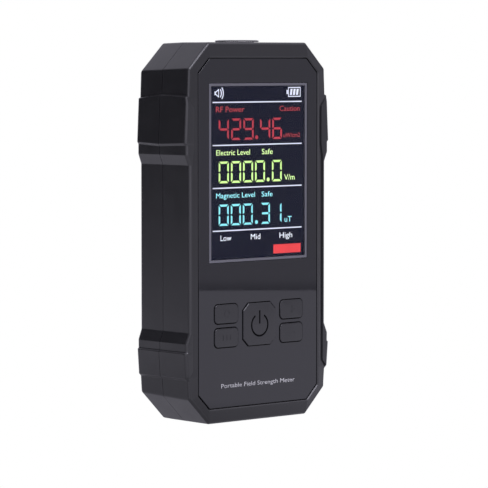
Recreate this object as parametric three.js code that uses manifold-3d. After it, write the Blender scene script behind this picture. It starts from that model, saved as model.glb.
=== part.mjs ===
// Handheld electromagnetic field meter, modelled as its real assembly.
// Millimetres, +Z up. The meter stands upright on its base; its face looks along -Y.
// The origin is the middle of the base, under the centre of the case.

import * as THREE from "three";
import { mergeVertices } from "three/addons/utils/BufferGeometryUtils.js";
import Module from "manifold-3d";

const wasm = await Module();
wasm.setup();

// ---------------------------------------------------------------- driving dimensions

const HEIGHT = 130;            // base to the top of the sensor cap
const WIDTH = 67;              // across the grip bumps
const DEPTH = 30;              // key faces to the flat of the back

const GAP = 0.3;               // clearance between separate pieces
const FINE_GAP = 0.15;         // clearance between small fitted pieces
const WALL = 2;                // case wall

const FRONT = -DEPTH / 2;      // the key faces
const BACK = DEPTH / 2;        // the flat of the back
const PARTING = -0.8;          // where the two case halves meet
const CASE_TOP = HEIGHT - 0.8; // the cap stands this little above the case
const SIDE = WIDTH / 2 - 1.95; // half width of the plain side wall

const RING_LIP = FRONT + 0.25;       // foremost edge of the ring round the panel
const RING_EDGE = FRONT + 0.4;       // outer edge of the ring, where its bevel starts
const EDGE_BEVEL = 0.5;              // bevel between the ring and the side wall
const PANEL_FACE = FRONT + 0.5;
const PANEL_BACK = PANEL_FACE + 1.2;
const SEAT = PANEL_BACK + 0.2;       // the panel lies on this ledge
const FRONT_WALL_BACK = SEAT + 1.6;
const BACK_BEVEL = BACK - 4.5;       // where the side wall turns into the back bevel
const BACK_WALL_FRONT = BACK - 1.8;
const FLAT_BASE_END = 8;             // the base is level from the front to here
const HEAD_SEAT = BACK - 2.6;        // the case screws' heads sit this deep

const CORNER = 9.8;                  // 45 degree corners of the case, seen from the front
const FRONT_CORNER = CORNER - 0.8;   // they are cut a little less at the front
const PARTING_CORNER = CORNER - 0.4;
const PANEL_HALF = 27.4;
const PANEL_LOW = 5.3;
const PANEL_HIGH = CASE_TOP - 5.5;
const PANEL_CORNER = 5;

const SCREEN_HALF = 22.65;
const SCREEN_LOW = 54.7;
const SCREEN_HIGH = 115.3;
const SCREEN_BORDER = 0.9;

const BOARD_FRONT = -5;
const BOARD_BACK = -3.4;

// Grip bumps on each side: [height, how far the side stands out there]
const GRIP = [
  [15.4, 0.4], [16.3, 1.3], [24.5, 1.95], [25.5, 1.5], [28.3, 1.5], [31.5, 0],
  [88, 0], [91.3, 1.4], [94.3, 1.4], [95.7, 1.95], [110.3, 1.2], [111, 0.35],
];

// ---------------------------------------------------------------- geometry helpers

function toSolid(geometry) {
  const plain = geometry.clone();
  plain.deleteAttribute("normal");
  plain.deleteAttribute("uv");
  const merged = mergeVertices(plain, 1e-4);
  const mesh = new wasm.Mesh({
    numProp: 3,
    vertProperties: new Float32Array(merged.attributes.position.array),
    triVerts: new Uint32Array(merged.index.array),
  });
  return new wasm.Manifold(mesh);
}

function toGeometry(solid) {
  const mesh = solid.getMesh();
  const geometry = new THREE.BufferGeometry();
  geometry.setAttribute("position", new THREE.BufferAttribute(mesh.vertProperties, 3));
  geometry.setIndex(new THREE.BufferAttribute(mesh.triVerts, 1));
  return geometry;
}

function join(geometries) {
  return toGeometry(geometries.map(toSolid).reduce((all, next) => all.add(next)));
}

function cut(geometry, tools) {
  return toGeometry(tools.map(toSolid).reduce((left, tool) => left.subtract(tool), toSolid(geometry)));
}

function shapeOf(points) {
  return new THREE.Shape(points.map(([x, z]) => new THREE.Vector2(x, z)));
}

// A flat outline in X and Z, made solid from y0 back to y1.
function plate(shape, y0, y1) {
  const settings = { depth: y1 - y0, bevelEnabled: false, curveSegments: 4 };
  return new THREE.ExtrudeGeometry(shape, settings).rotateX(Math.PI / 2).translate(0, y1, 0);
}

function box([x0, x1], [y0, y1], [z0, z1]) {
  const geometry = new THREE.BoxGeometry(x1 - x0, y1 - y0, z1 - z0);
  return geometry.translate((x0 + x1) / 2, (y0 + y1) / 2, (z0 + z1) / 2);
}

// A round bar or disc along Y.
function roundY(radius, x, z, [y0, y1], sides = 16) {
  return new THREE.CylinderGeometry(radius, radius, y1 - y0, sides).translate(x, (y0 + y1) / 2, z);
}

// A round bar or disc along Z.
function roundZ(radius, x, y, [z0, z1], sides = 16) {
  return new THREE.CylinderGeometry(radius, radius, z1 - z0, sides)
    .rotateX(Math.PI / 2).translate(x, y, (z0 + z1) / 2);
}

// A turned profile of [radius, height] points, with its axis along Y.
function turnedY(profile, x, z, sides = 16) {
  const points = profile.map(([radius, y]) => new THREE.Vector2(radius, y));
  return new THREE.LatheGeometry(points, sides).translate(x, 0, z);
}

// The same with its axis along Z.
function turnedZ(profile, x, y, sides = 16) {
  const points = profile.map(([radius, z]) => new THREE.Vector2(radius, z));
  return new THREE.LatheGeometry(points, sides).rotateX(Math.PI / 2).translate(x, y, 0);
}

// A rectangle with cut corners, centred on x = centre.
function cutRectangle(centre, halfWidth, low, high, corner) {
  const left = centre - halfWidth;
  const right = centre + halfWidth;
  return shapeOf([
    [left + corner, low], [right - corner, low], [right, low + corner], [right, high - corner],
    [right - corner, high], [left + corner, high], [left, high - corner], [left, low + corner],
  ]);
}

function roundedRectangle(centre, middle, width, height, radius) {
  const x = centre - width / 2;
  const z = middle - height / 2;
  const shape = new THREE.Shape();
  shape.moveTo(x + radius, z);
  shape.absarc(x + width - radius, z + radius, radius, -Math.PI / 2, 0);
  shape.absarc(x + width - radius, z + height - radius, radius, 0, Math.PI / 2);
  shape.absarc(x + radius, z + height - radius, radius, Math.PI / 2, Math.PI);
  shape.absarc(x + radius, z + radius, radius, Math.PI, Math.PI * 1.5);
  return shape;
}

// One layer of the case at depth y: the octagon of the case with the grip bumps on its sides.
function caseLayer({ y, inset = 0, grip = 0, corner = CORNER, low = inset, high = CASE_TOP - inset }) {
  const half = SIDE - inset;
  const right = [
    [half - corner, low],
    [half, low + corner],
    ...GRIP.map(([z, out]) => [half + out * grip, z]),
    [half, high - corner],
    [half - corner, high],
  ];
  const left = right.map(([x, z]) => [-x, z]).reverse();
  return { y, outline: [...right, ...left] };
}

// A closed skin through layers of equal point counts, from the front layer to the back one.
function loft(layers) {
  const count = layers[0].outline.length;
  const positions = layers.flatMap(({ y, outline }) => outline.flatMap(([x, z]) => [x, y, z]));
  const faces = [];
  for (let layer = 0; layer < layers.length - 1; layer += 1) {
    for (let i = 0; i < count; i += 1) {
      const a = layer * count + i;
      const b = layer * count + ((i + 1) % count);
      faces.push(a, b + count, b, a, a + count, b + count);
    }
  }
  const cap = (layer) => THREE.ShapeUtils.triangulateShape(
    layers[layer].outline.map(([x, z]) => new THREE.Vector2(x, z)), []);
  const last = (layers.length - 1) * count;
  cap(0).forEach(([a, b, c]) => faces.push(a, b, c));
  cap(layers.length - 1).forEach(([a, b, c]) => faces.push(last + a, last + c, last + b));
  const geometry = new THREE.BufferGeometry();
  geometry.setAttribute("position", new THREE.Float32BufferAttribute(positions, 3));
  geometry.setIndex(faces);
  return geometry;
}

// ---------------------------------------------------------------- materials

function material(color, roughness, metalness = 0) {
  return new THREE.MeshStandardMaterial({ color, roughness, metalness });
}

const blackPlastic = material(0x222225, 0.42);
const glossBlack = material(0x2c2c30, 0.15);
const clearPlastic = material(0x8a93a0, 0.05);
const greyPlastic = material(0x6d6d70, 0.5);
const displayGlass = material(0x141624, 0.1);
const whitePlastic = material(0xd9d9d4, 0.5);
const boardGreen = material(0x14512f, 0.5);
const flexAmber = material(0xa8641e, 0.4);
const steel = material(0xb4b6b8, 0.3, 1);
const spring = material(0xc2c4c6, 0.25, 1);
const copper = material(0xb06a3a, 0.35, 1);
const chipBlack = material(0x1a1a1c, 0.6);
const cellJacket = material(0x2d4a73, 0.35);

const meter = new THREE.Group();

function add(name, geometry, look) {
  const mesh = new THREE.Mesh(geometry, look);
  mesh.name = name;
  meter.add(mesh);
}

// ---------------------------------------------------------------- keys

const KEY_FACE = FRONT;
const KEY_FLANGE = [FRONT_WALL_BACK + 0.1, FRONT_WALL_BACK + 1];
const STUB_END = -8.4;
const SMALL_KEY = { width: 10.6, height: 6.5, radius: 1.5 };
const POWER_KEY = { half: 7.45, low: 25.7, high: 40.25, corner: 2.4 };
const POWER_MIDDLE = (POWER_KEY.low + POWER_KEY.high) / 2;

const SMALL_KEYS = [
  { name: "upper_left", x: -15.1, z: 37.2 },
  { name: "lower_left", x: -15.1, z: 29.1 },
  { name: "upper_right", x: 15.1, z: 37.2 },
  { name: "lower_right", x: 15.1, z: 29.1 },
];

function smallKeyShape({ x, z }, margin) {
  return roundedRectangle(x, z, SMALL_KEY.width + 2 * margin, SMALL_KEY.height + 2 * margin,
    SMALL_KEY.radius + margin);
}

function powerKeyShape(margin) {
  const { half, low, high, corner } = POWER_KEY;
  return cutRectangle(0, half + margin, low - margin, high + margin, corner + margin / 2);
}

// A key: the cap that shows, a flange that stops it falling out, and the stub that presses its switch.
function key(shapeFor, face, x, z) {
  const flangeMargin = 0.7;
  const cap = plate(shapeFor(0), face, KEY_FLANGE[0] + 0.1);
  const flange = plate(shapeFor(flangeMargin), KEY_FLANGE[0], KEY_FLANGE[1]);
  const stub = roundY(1.5, x, z, [KEY_FLANGE[1] - 0.1, STUB_END], 12);
  return join([cap, flange, stub]);
}

function keyHoles(y0, y1) {
  const small = SMALL_KEYS.map((place) => plate(smallKeyShape(place, GAP), y0, y1));
  return [plate(powerKeyShape(GAP), y0, y1), ...small];
}

function addKeys() {
  add("power_key", key(powerKeyShape, KEY_FACE, 0, POWER_MIDDLE), blackPlastic);
  SMALL_KEYS.forEach((place) => {
    add(`${place.name}_key`, key((margin) => smallKeyShape(place, margin), KEY_FACE + 0.1, place.x, place.z),
      blackPlastic);
  });
}

// Each tact switch is a housing with a well, and a plunger that the key pushes into the well.
function addSwitches() {
  const housing = [-7.3, BOARD_FRONT - FINE_GAP];
  const well = [housing[0] - 1, housing[1] - 0.5];
  const plunger = [STUB_END + FINE_GAP, housing[1] - 1.3];
  const places = [{ name: "power", x: 0, z: POWER_MIDDLE }, ...SMALL_KEYS];
  places.forEach(({ name, x, z }) => {
    const body = box([x - 2.6, x + 2.6], housing, [z - 2.6, z + 2.6]);
    add(`${name}_switch`, cut(body, [roundY(1.5, x, z, well, 12)]), chipBlack);
    add(`${name}_plunger`, roundY(1.2, x, z, plunger, 12), whitePlastic);
  });
}

// ---------------------------------------------------------------- case

const CASE_SCREWS = [[-17, 10], [17, 10], [-17, 119.4], [17, 119.4]];
const BOARD_SCREWS = [[-25.6, 19], [25.6, 19], [-25.6, 107], [25.6, 107]];
const CAP_PLACE = { y: -3.3, radius: 7.6, neck: 5.9 };
const CAP_NECK_BOTTOM = CASE_TOP - 3.2;

function capOpening() {
  return roundZ(CAP_PLACE.neck + GAP, 0, CAP_PLACE.y, [CASE_TOP - 5, CASE_TOP + 5], 32);
}

function frontShell() {
  const outer = loft([
    caseLayer({ y: RING_LIP, inset: 3.5, corner: 5.4, low: 4.7, high: PANEL_HIGH + 0.6 }),
    caseLayer({ y: RING_EDGE, inset: EDGE_BEVEL, grip: 1, corner: FRONT_CORNER }),
    caseLayer({ y: RING_EDGE + EDGE_BEVEL, grip: 1, corner: FRONT_CORNER }),
    caseLayer({ y: PARTING - FINE_GAP, grip: 1, corner: PARTING_CORNER }),
  ]);
  const inner = loft([
    caseLayer({ y: FRONT_WALL_BACK, inset: WALL }),
    caseLayer({ y: PARTING + 1, inset: WALL }),
  ]);
  const panelSeat = plate(
    cutRectangle(0, PANEL_HALF + GAP, PANEL_LOW - GAP, PANEL_HIGH + GAP, PANEL_CORNER), FRONT - 1, SEAT);
  const displayWindow = box([-23.3, 23.3], [FRONT, FRONT_WALL_BACK + 1], [53.9, 116.1]);
  const hollow = cut(outer, [inner, panelSeat, displayWindow, ...keyHoles(FRONT, FRONT_WALL_BACK + 1)]);
  const rooted = FRONT_WALL_BACK - 0.5;
  const pilot = [FRONT_WALL_BACK + 2, 0];
  const bosses = CASE_SCREWS.map(([x, z]) => roundY(3, x, z, [rooted, PARTING - GAP]));
  const posts = BOARD_SCREWS.map(([x, z]) => roundY(2.2, x, z, [rooted, BOARD_FRONT - FINE_GAP]));
  const bossHoles = CASE_SCREWS.map(([x, z]) => roundY(1.4, x, z, pilot, 12));
  const postHoles = BOARD_SCREWS.map(([x, z]) => roundY(1.25, x, z, pilot, 12));
  return cut(join([hollow, ...bosses, ...posts]), [...bossHoles, ...postHoles, capOpening()]);
}

// A frame that follows the case all the way round, between two insets from its outside.
function frame(y0, y1, outerInset, innerInset) {
  const straight = (inset, from, to) => loft([caseLayer({ y: from, inset }), caseLayer({ y: to, inset })]);
  return cut(straight(outerInset, y0, y1), [straight(innerInset, y0 - 1, y1 + 1)]);
}

// Battery compartment: three cells side by side, the door above them.
const CELL = { radius: 5.25, length: 44.5, pitch: 10.9, y: 7.7, low: 23.2 };
const BAY = { half: 16.9, low: 19.8, high: 71.2, floor: 2.2, wall: 1.5 };
const DOOR = { half: 19.6, low: 17.2, high: 76, corner: 2, thickness: 1.5 };

function backShell() {
  const start = PARTING + FINE_GAP;
  const topDraft = 0.3;
  const outer = loft([
    caseLayer({ y: start, grip: 1, corner: PARTING_CORNER }),
    caseLayer({ y: FLAT_BASE_END, grip: 0.97, low: 0, high: CASE_TOP - topDraft * 0.8 }),
    caseLayer({ y: BACK_BEVEL, grip: 0.95, low: 0.15, high: CASE_TOP - topDraft }),
    caseLayer({ y: BACK, inset: 4.6, corner: 8.6, low: 4.4, high: CASE_TOP - 4.8 }),
  ]);
  const inner = loft([
    caseLayer({ y: start - 1, inset: WALL }),
    caseLayer({ y: BACK_BEVEL - 0.6, inset: WALL, corner: 10.2, high: CASE_TOP - WALL - topDraft }),
    caseLayer({ y: BACK_WALL_FRONT, inset: 5, corner: 8.2, low: 5, high: CASE_TOP - 5.4 }),
  ]);
  const tongueStart = PARTING - 1.5;
  const tongueEnd = PARTING + 2.3;
  const tongue = frame(tongueStart, tongueEnd, WALL + GAP, WALL + 1.3);
  const tongueRoot = frame(start, tongueEnd, WALL - 0.5, WALL + 1.3);
  const bayHalf = BAY.half + BAY.wall;
  const bay = box([-bayHalf, bayHalf], [BAY.floor - BAY.wall, BACK_WALL_FRONT + 0.5],
    [BAY.low - BAY.wall, BAY.high + BAY.wall]);
  const ledge = box([-DOOR.half - 1.5, DOOR.half + 1.5], [BACK_WALL_FRONT - 1.2, BACK_WALL_FRONT + 0.5],
    [DOOR.low - 1.5, DOOR.high + 1.5]);
  const bosses = CASE_SCREWS.map(([x, z]) => roundY(3.6, x, z, [PARTING + GAP, BACK_WALL_FRONT + 0.5]));
  const bayHollow = box([-BAY.half, BAY.half], [BAY.floor, BACK + 1], [BAY.low, BAY.high]);
  const doorSeat = plate(
    cutRectangle(0, DOOR.half + GAP, DOOR.low - GAP, DOOR.high + GAP, DOOR.corner),
    BACK - DOOR.thickness - FINE_GAP, BACK + 1);
  const shafts = CASE_SCREWS.map(([x, z]) => roundY(1.5, x, z, [PARTING - 1, BACK + 1], 12));
  const heads = CASE_SCREWS.map(([x, z]) => roundY(2.5, x, z, [HEAD_SEAT, BACK + 1]));
  return cut(join([cut(outer, [inner]), tongueRoot, tongue, bay, ledge, ...bosses]),
    [bayHollow, doorSeat, ...shafts, ...heads, capOpening()]);
}

function batteryDoor() {
  const outline = cutRectangle(0, DOOR.half, DOOR.low, DOOR.high, DOOR.corner);
  const face = plate(outline, BACK - DOOR.thickness, BACK);
  const rib = box([-BAY.half + GAP, BAY.half - GAP], [BACK - DOOR.thickness - 0.5, BACK - 1],
    [BAY.high - 1.6, BAY.high - GAP]);
  const grooves = [0, 1, 2].map((i) => {
    const z = DOOR.high - 4 - 1.8 * i;
    return box([-5, 5], [BACK - 0.5, BACK + 1], [z - 0.4, z + 0.4]);
  });
  return cut(join([face, rib]), grooves);
}

function sensorCap() {
  const { radius, neck } = CAP_PLACE;
  return turnedZ([
    [0, CAP_NECK_BOTTOM], [neck, CAP_NECK_BOTTOM], [neck, CASE_TOP + FINE_GAP], [radius, CASE_TOP + FINE_GAP],
    [radius - 0.3, HEIGHT - 0.2], [radius - 1, HEIGHT], [0, HEIGHT],
  ], 0, CAP_PLACE.y, 32);
}

// A pan-head screw driven from the back, with a cross recess in its head.
function screw(x, z, headY, headRadius, headDepth, shaftRadius, shaftEnd) {
  const top = headY + headDepth;
  const body = turnedY([
    [0, shaftEnd], [shaftRadius * 0.5, shaftEnd], [shaftRadius, shaftEnd + 0.8], [shaftRadius, headY],
    [headRadius, headY], [headRadius, top - 0.5], [headRadius - 0.6, top], [0, top],
  ], x, z, 12);
  const arm = headRadius * 0.6;
  const slotHalf = 0.3;
  const slotY = [top - 0.7, top + 1];
  const slots = join([
    box([x - arm, x + arm], slotY, [z - slotHalf, z + slotHalf]),
    box([x - slotHalf, x + slotHalf], slotY, [z - arm, z + arm]),
  ]);
  return cut(body, [slots]);
}

function addCase() {
  add("front_shell", frontShell(), blackPlastic);
  add("back_shell", backShell(), blackPlastic);
  add("battery_door", batteryDoor(), blackPlastic);
  add("sensor_cap", sensorCap(), blackPlastic);
  CASE_SCREWS.forEach(([x, z], i) => {
    add(`case_screw_${i + 1}`, screw(x, z, HEAD_SEAT + FINE_GAP, 2.2, 1.5, 1.1, -8.5), steel);
  });
}

// ---------------------------------------------------------------- panel and display

function frontPanel() {
  const outline = cutRectangle(0, PANEL_HALF, PANEL_LOW, PANEL_HIGH, PANEL_CORNER);
  const face = plate(outline, PANEL_FACE, PANEL_BACK);
  const half = SCREEN_HALF + FINE_GAP;
  const height = [SCREEN_LOW - FINE_GAP, SCREEN_HIGH + FINE_GAP];
  const opening = box([-half, half], [FRONT - 1, PANEL_BACK + 1], height);
  return cut(face, [opening, ...keyHoles(FRONT - 1, PANEL_BACK + 1)]);
}

function screenBorder() {
  const inset = SCREEN_HALF - SCREEN_BORDER;
  const outer = box([-SCREEN_HALF, SCREEN_HALF], [PANEL_FACE, PANEL_BACK], [SCREEN_LOW, SCREEN_HIGH]);
  const inner = box([-inset, inset], [FRONT - 1, PANEL_BACK + 1],
    [SCREEN_LOW + SCREEN_BORDER, SCREEN_HIGH - SCREEN_BORDER]);
  return cut(outer, [inner]);
}

// The clear cover and the display behind it both fill the border's opening.
function insideBorder(depths) {
  const margin = SCREEN_BORDER + FINE_GAP;
  const half = SCREEN_HALF - margin;
  return box([-half, half], depths, [SCREEN_LOW + margin, SCREEN_HIGH - margin]);
}

// The flexible ribbon drops from the display and turns back to its socket on the board.
function displayRibbon() {
  const thickness = 0.3;
  const path = [[-10.6, 53.4], [-10.6, 51], [-9.6, 49], [-8, 48], [-5.9, 48]];
  const across = path.map(([y, z], i) => {
    const [y0, z0] = path[Math.max(i - 1, 0)];
    const [y1, z1] = path[Math.min(i + 1, path.length - 1)];
    const length = Math.hypot(y1 - y0, z1 - z0);
    return [y + ((z1 - z0) / length) * thickness, z - ((y1 - y0) / length) * thickness];
  });
  const outline = shapeOf([...path, ...across.reverse()]);
  const strip = new THREE.ExtrudeGeometry(outline, { depth: 14, bevelEnabled: false });
  strip.applyMatrix4(new THREE.Matrix4().makeBasis(
    new THREE.Vector3(0, 1, 0), new THREE.Vector3(0, 0, 1), new THREE.Vector3(1, 0, 0)));
  return strip.translate(-7, 0, 0);
}

function addDisplay() {
  const coverBack = PANEL_FACE + 0.5;
  const trayHalf = 23;
  const tray = [54.2, 115.8];
  const trayDepths = [FRONT_WALL_BACK + FINE_GAP, -9.2];
  const trayRim = 2;
  add("front_panel", frontPanel(), glossBlack);
  add("screen_border", screenBorder(), greyPlastic);
  add("screen_window", insideBorder([PANEL_FACE, coverBack]), clearPlastic);
  add("display_glass", insideBorder([coverBack + FINE_GAP, FRONT_WALL_BACK]), displayGlass);
  const trayHollow = box([-trayHalf + trayRim, trayHalf - trayRim], [trayDepths[1] - 0.6, trayDepths[1] + 1],
    [tray[0] + trayRim, tray[1] - trayRim]);
  add("backlight_tray", cut(box([-trayHalf, trayHalf], trayDepths, tray), [trayHollow]), whitePlastic);
  add("display_ribbon", displayRibbon(), flexAmber);
}

// ---------------------------------------------------------------- electronics

function mainBoard() {
  const board = plate(cutRectangle(0, 28, 16, 113, 4), BOARD_FRONT, BOARD_BACK);
  return cut(board, BOARD_SCREWS.map(([x, z]) => roundY(1.3, x, z, [BOARD_FRONT - 1, BOARD_BACK + 1], 12)));
}

// Open-topped can: a shallow steel box with vent holes, facing the board.
function shieldCan() {
  const can = box([4, 22], [BOARD_BACK + FINE_GAP, -0.6], [80, 98]);
  const hollow = box([4.5, 21.5], [BOARD_BACK - 1, -1.1], [80.5, 97.5]);
  const rows = [0, 1, 2];
  const vents = rows.flatMap((i) => rows.map((j) => roundY(0.8, 8 + 5 * i, 84 + 5 * j, [-2, 0], 8)));
  return cut(can, [hollow, ...vents]);
}

function buzzer() {
  const front = BOARD_BACK + FINE_GAP;
  return turnedY([
    [0, front], [6, front], [6, 0.4], [5.4, 1], [1.2, 1], [1.2, -0.6], [0, -0.6],
  ], -13, 90, 20);
}

// A pick-up coil wound on a waisted bobbin; turn it to set its axis.
function coil() {
  return new THREE.LatheGeometry([
    [0, -4], [5, -4], [5, -3.2], [4.2, -3.2], [4.2, 3.2], [5, 3.2], [5, 4], [0, 4],
  ].map(([radius, height]) => new THREE.Vector2(radius, height)), 16);
}

function addElectronics() {
  add("main_board", mainBoard(), boardGreen);
  BOARD_SCREWS.forEach(([x, z], i) => {
    add(`board_screw_${i + 1}`, screw(x, z, BOARD_BACK + FINE_GAP, 1.9, 1, 0.95, -9), steel);
  });
  add("ribbon_socket", box([-8, 8], [-5.75, BOARD_FRONT - FINE_GAP], [46.6, 49.6]), whitePlastic);
  add("microcontroller", box([-5, 5], [BOARD_BACK + FINE_GAP, -1.9], [60, 70]), chipBlack);
  add("sensor_amplifier", box([-3, 3], [BOARD_BACK + FINE_GAP, -1.9], [100, 105]), chipBlack);
  add("shield_can", shieldCan(), steel);
  add("buzzer", buzzer(), chipBlack);
}

function addSensors() {
  add("electric_field_plate", box([-12.5, 12.5], [-4.6, -4.2], [115, 125.5]), copper);
  add("magnetic_coil_x", coil().rotateZ(Math.PI / 2).translate(-18, 5.5, 108), copper);
  add("magnetic_coil_y", coil().translate(0, 5.5, 108), copper);
  add("magnetic_coil_z", coil().rotateX(Math.PI / 2).translate(18, 5.5, 108), copper);
  add("radio_antenna_board", box([-12.5, 12.5], [-2.5, 9], [122, 123.2]), boardGreen);
}

// ---------------------------------------------------------------- batteries

function cell(x, plusUp) {
  const { radius, length, y, low } = CELL;
  const nub = 1;
  const profile = [
    [0, 0], [radius - 0.5, 0], [radius, 0.5], [radius, length - nub - 0.5], [radius - 0.5, length - nub],
    [1.9, length - nub], [1.9, length], [0, length],
  ];
  const points = profile.map(([r, along]) => new THREE.Vector2(r, along - length / 2));
  const geometry = new THREE.LatheGeometry(points, 20).rotateX(plusUp ? Math.PI / 2 : -Math.PI / 2);
  return geometry.translate(x, y, low + length / 2);
}

// Contact coil spring, modelled as its tapering outer shape.
function contactSpring(x, seat, tip) {
  return turnedZ([[0, Math.min(seat, tip)], [seat < tip ? 4 : 2, Math.min(seat, tip)],
    [seat < tip ? 2 : 4, Math.max(seat, tip)], [0, Math.max(seat, tip)]], x, CELL.y, 12);
}

function addBatteries() {
  const top = CELL.low + CELL.length;
  const bottomSeat = BAY.low + FINE_GAP;
  const topSeat = BAY.high - FINE_GAP;
  const plateDepth = 0.4;
  ["left", "middle", "right"].forEach((name, i) => {
    const x = (i - 1) * CELL.pitch;
    const plusUp = i !== 1;
    const plusSeat = plusUp ? [topSeat - plateDepth, topSeat] : [bottomSeat, bottomSeat + plateDepth];
    add(`${name}_cell`, cell(x, plusUp), cellJacket);
    add(`${name}_contact_plate`, box([x - 4, x + 4], [CELL.y - 4, CELL.y + 4], plusSeat), steel);
    const springSpan = plusUp
      ? [bottomSeat, CELL.low - FINE_GAP]
      : [topSeat, top + FINE_GAP];
    add(`${name}_contact_spring`, contactSpring(x, ...springSpan), spring);
  });
}

addCase();
addDisplay();
addKeys();
addSwitches();
addElectronics();
addSensors();
addBatteries();

export default meter;
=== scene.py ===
"""Looks of a handheld electromagnetic field meter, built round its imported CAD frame.

Shapes are worked out in millimetres in the frame's own axes (X right, Z up, face towards -Y)
and turned into metres when a piece is finished.
"""

import math

import bmesh
import bpy
from mathutils import Matrix, Vector


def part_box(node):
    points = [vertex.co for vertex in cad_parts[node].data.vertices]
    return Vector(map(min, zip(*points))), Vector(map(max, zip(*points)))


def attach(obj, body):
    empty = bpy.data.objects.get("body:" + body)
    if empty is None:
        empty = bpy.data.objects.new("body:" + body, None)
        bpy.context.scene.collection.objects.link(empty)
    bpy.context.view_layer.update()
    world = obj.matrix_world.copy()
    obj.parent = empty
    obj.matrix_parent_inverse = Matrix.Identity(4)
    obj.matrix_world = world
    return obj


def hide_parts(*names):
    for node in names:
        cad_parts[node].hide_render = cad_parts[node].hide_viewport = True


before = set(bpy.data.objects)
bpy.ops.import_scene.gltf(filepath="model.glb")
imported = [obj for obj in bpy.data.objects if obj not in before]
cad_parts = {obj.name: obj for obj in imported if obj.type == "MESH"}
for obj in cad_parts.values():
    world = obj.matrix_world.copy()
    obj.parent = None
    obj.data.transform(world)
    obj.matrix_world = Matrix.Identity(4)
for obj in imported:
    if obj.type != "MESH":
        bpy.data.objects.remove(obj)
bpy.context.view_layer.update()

MM = 0.001
CASE = "case"
SIDES = ("left", "middle", "right")


def node_box(node):
    """Lowest and highest corners of a CAD node, in millimetres."""
    low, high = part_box(node)
    return low / MM, high / MM


def ease(value, start, end):
    """0 at start, 1 at end and smooth between; start may be the larger."""
    part = min(max((value - start) / (end - start), 0), 1)
    return part * part * (3 - 2 * part)


# ------------------------------------------------------------------ dimensions from the frame

SHELL_LOW, SHELL_HIGH = node_box("front_shell")
BACK = node_box("back_shell")[1].y
PANEL_LOW, PANEL_HIGH = node_box("front_panel")
BORDER_LOW, BORDER_HIGH = node_box("screen_border")
WINDOW_LOW, WINDOW_HIGH = node_box("screen_window")
DISPLAY_FACE = node_box("display_glass")[0].y
DOOR_LOW, DOOR_HIGH = node_box("battery_door")
CAP_LOW, CAP_HIGH = node_box("sensor_cap")
POWER_FACE = node_box("power_key")[0].y
CAP_CENTRE = ((CAP_LOW.x + CAP_HIGH.x) / 2, (CAP_LOW.y + CAP_HIGH.y) / 2)
CAP_NECK = CAP_HIGH.x - 1.7            # radius of the cap's neck inside the case

GAP = 0.3                              # clearance round each separate piece
WALL = 2.0
GRIP_CREST = 1.95                      # how far the grips stand out from the plain side
SIDE = SHELL_HIGH.x - GRIP_CREST       # half width of the plain side
TOP = SHELL_HIGH.z
LIP = SHELL_LOW.y                      # foremost edge of the ring round the panel
RING_EDGE = LIP + 0.5                  # the ring round the panel slopes back to here
PARTING_FRONT = SHELL_HIGH.y
PARTING_BACK = PARTING_FRONT + 0.16
CONTACT = PARTING_FRONT + 0.01         # inside the fine groove of the parting the shells meet
PARTING = (PARTING_FRONT + PARTING_BACK) / 2
SEAT = PANEL_HIGH.y + 0.2              # the panel lies on this ledge
FRONT_WALL_BACK = SEAT + 1.6
BACK_EDGE = BACK - 4.5                 # where the side wall turns into the back bevel
BACK_WALL_FRONT = BACK - 1.8

# Outlines seen from the front: half width, bottom, top, corner leg, corner rounding
FRONT_OUTLINE = (SIDE, 0, TOP, 9.0, 1.3)
REAR_OUTLINE = (SIDE, 0, TOP, 9.8, 1.3)
SEAT_OUTLINE = (PANEL_HIGH.x + GAP, PANEL_LOW.z - GAP, PANEL_HIGH.z + GAP, 5, 0.6)
BACK_OUTLINE = (SIDE - 4.6, 4.4, TOP - 4.8, 8.6, 0.9)

# Grip bumps on each side: height, how far the side stands out there
GRIP = [
    (10.2, 0), (15.4, 0.4), (16.2, 1.3), (24.7, 1.95), (25.05, 1.45), (27.95, 1.5), (31.4, 0),
    (88, 0), (91.3, 1.4), (94.75, 1.4), (95.3, 1.95), (110.65, 1.2), (110.8, 0.35), (119, 0),
]

# ------------------------------------------------------------------ making shapes, in millimetres


def new_object(name, data):
    """An object in the scene that holds a mesh, a curve or a camera."""
    made = bpy.data.objects.new(name, data)
    bpy.context.scene.collection.objects.link(made)
    return made


def shape(name, points, faces):
    """A new object whose mesh is still in millimetres."""
    mesh = bpy.data.meshes.new(name)
    mesh.from_pydata([tuple(point) for point in points], [], faces)
    made = new_object(name, mesh)
    outward(made)
    return made


def edit(target, work):
    """Runs work on the mesh of an object."""
    cells = bmesh.new()
    cells.from_mesh(target.data)
    work(cells)
    cells.to_mesh(target.data)
    cells.free()


def outward(target):
    edit(target, lambda cells: bmesh.ops.recalc_face_normals(cells, faces=cells.faces))


def settle(target):
    """Turns an object's modifiers into its mesh."""
    graph = bpy.context.evaluated_depsgraph_get()
    graph.update()
    old = target.data
    target.data = bpy.data.meshes.new_from_object(target.evaluated_get(graph), depsgraph=graph)
    target.modifiers.clear()
    bpy.data.meshes.remove(old)


def carve(target, tools, operation="DIFFERENCE"):
    """Cuts the tools out of an object, or joins them to it, and removes the tools."""
    for tool in tools:
        cutter = target.modifiers.new("carve", "BOOLEAN")
        cutter.operation = operation
        cutter.solver = "EXACT"
        cutter.object = tool
    settle(target)
    for tool in tools:
        bpy.data.objects.remove(tool)
    return target


def merge(target, others):
    """Puts other meshes into the same object without cutting them together."""
    def work(cells):
        for other in others:
            cells.from_mesh(other.data)
    edit(target, work)
    for other in others:
        bpy.data.objects.remove(other)
    return target


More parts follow.
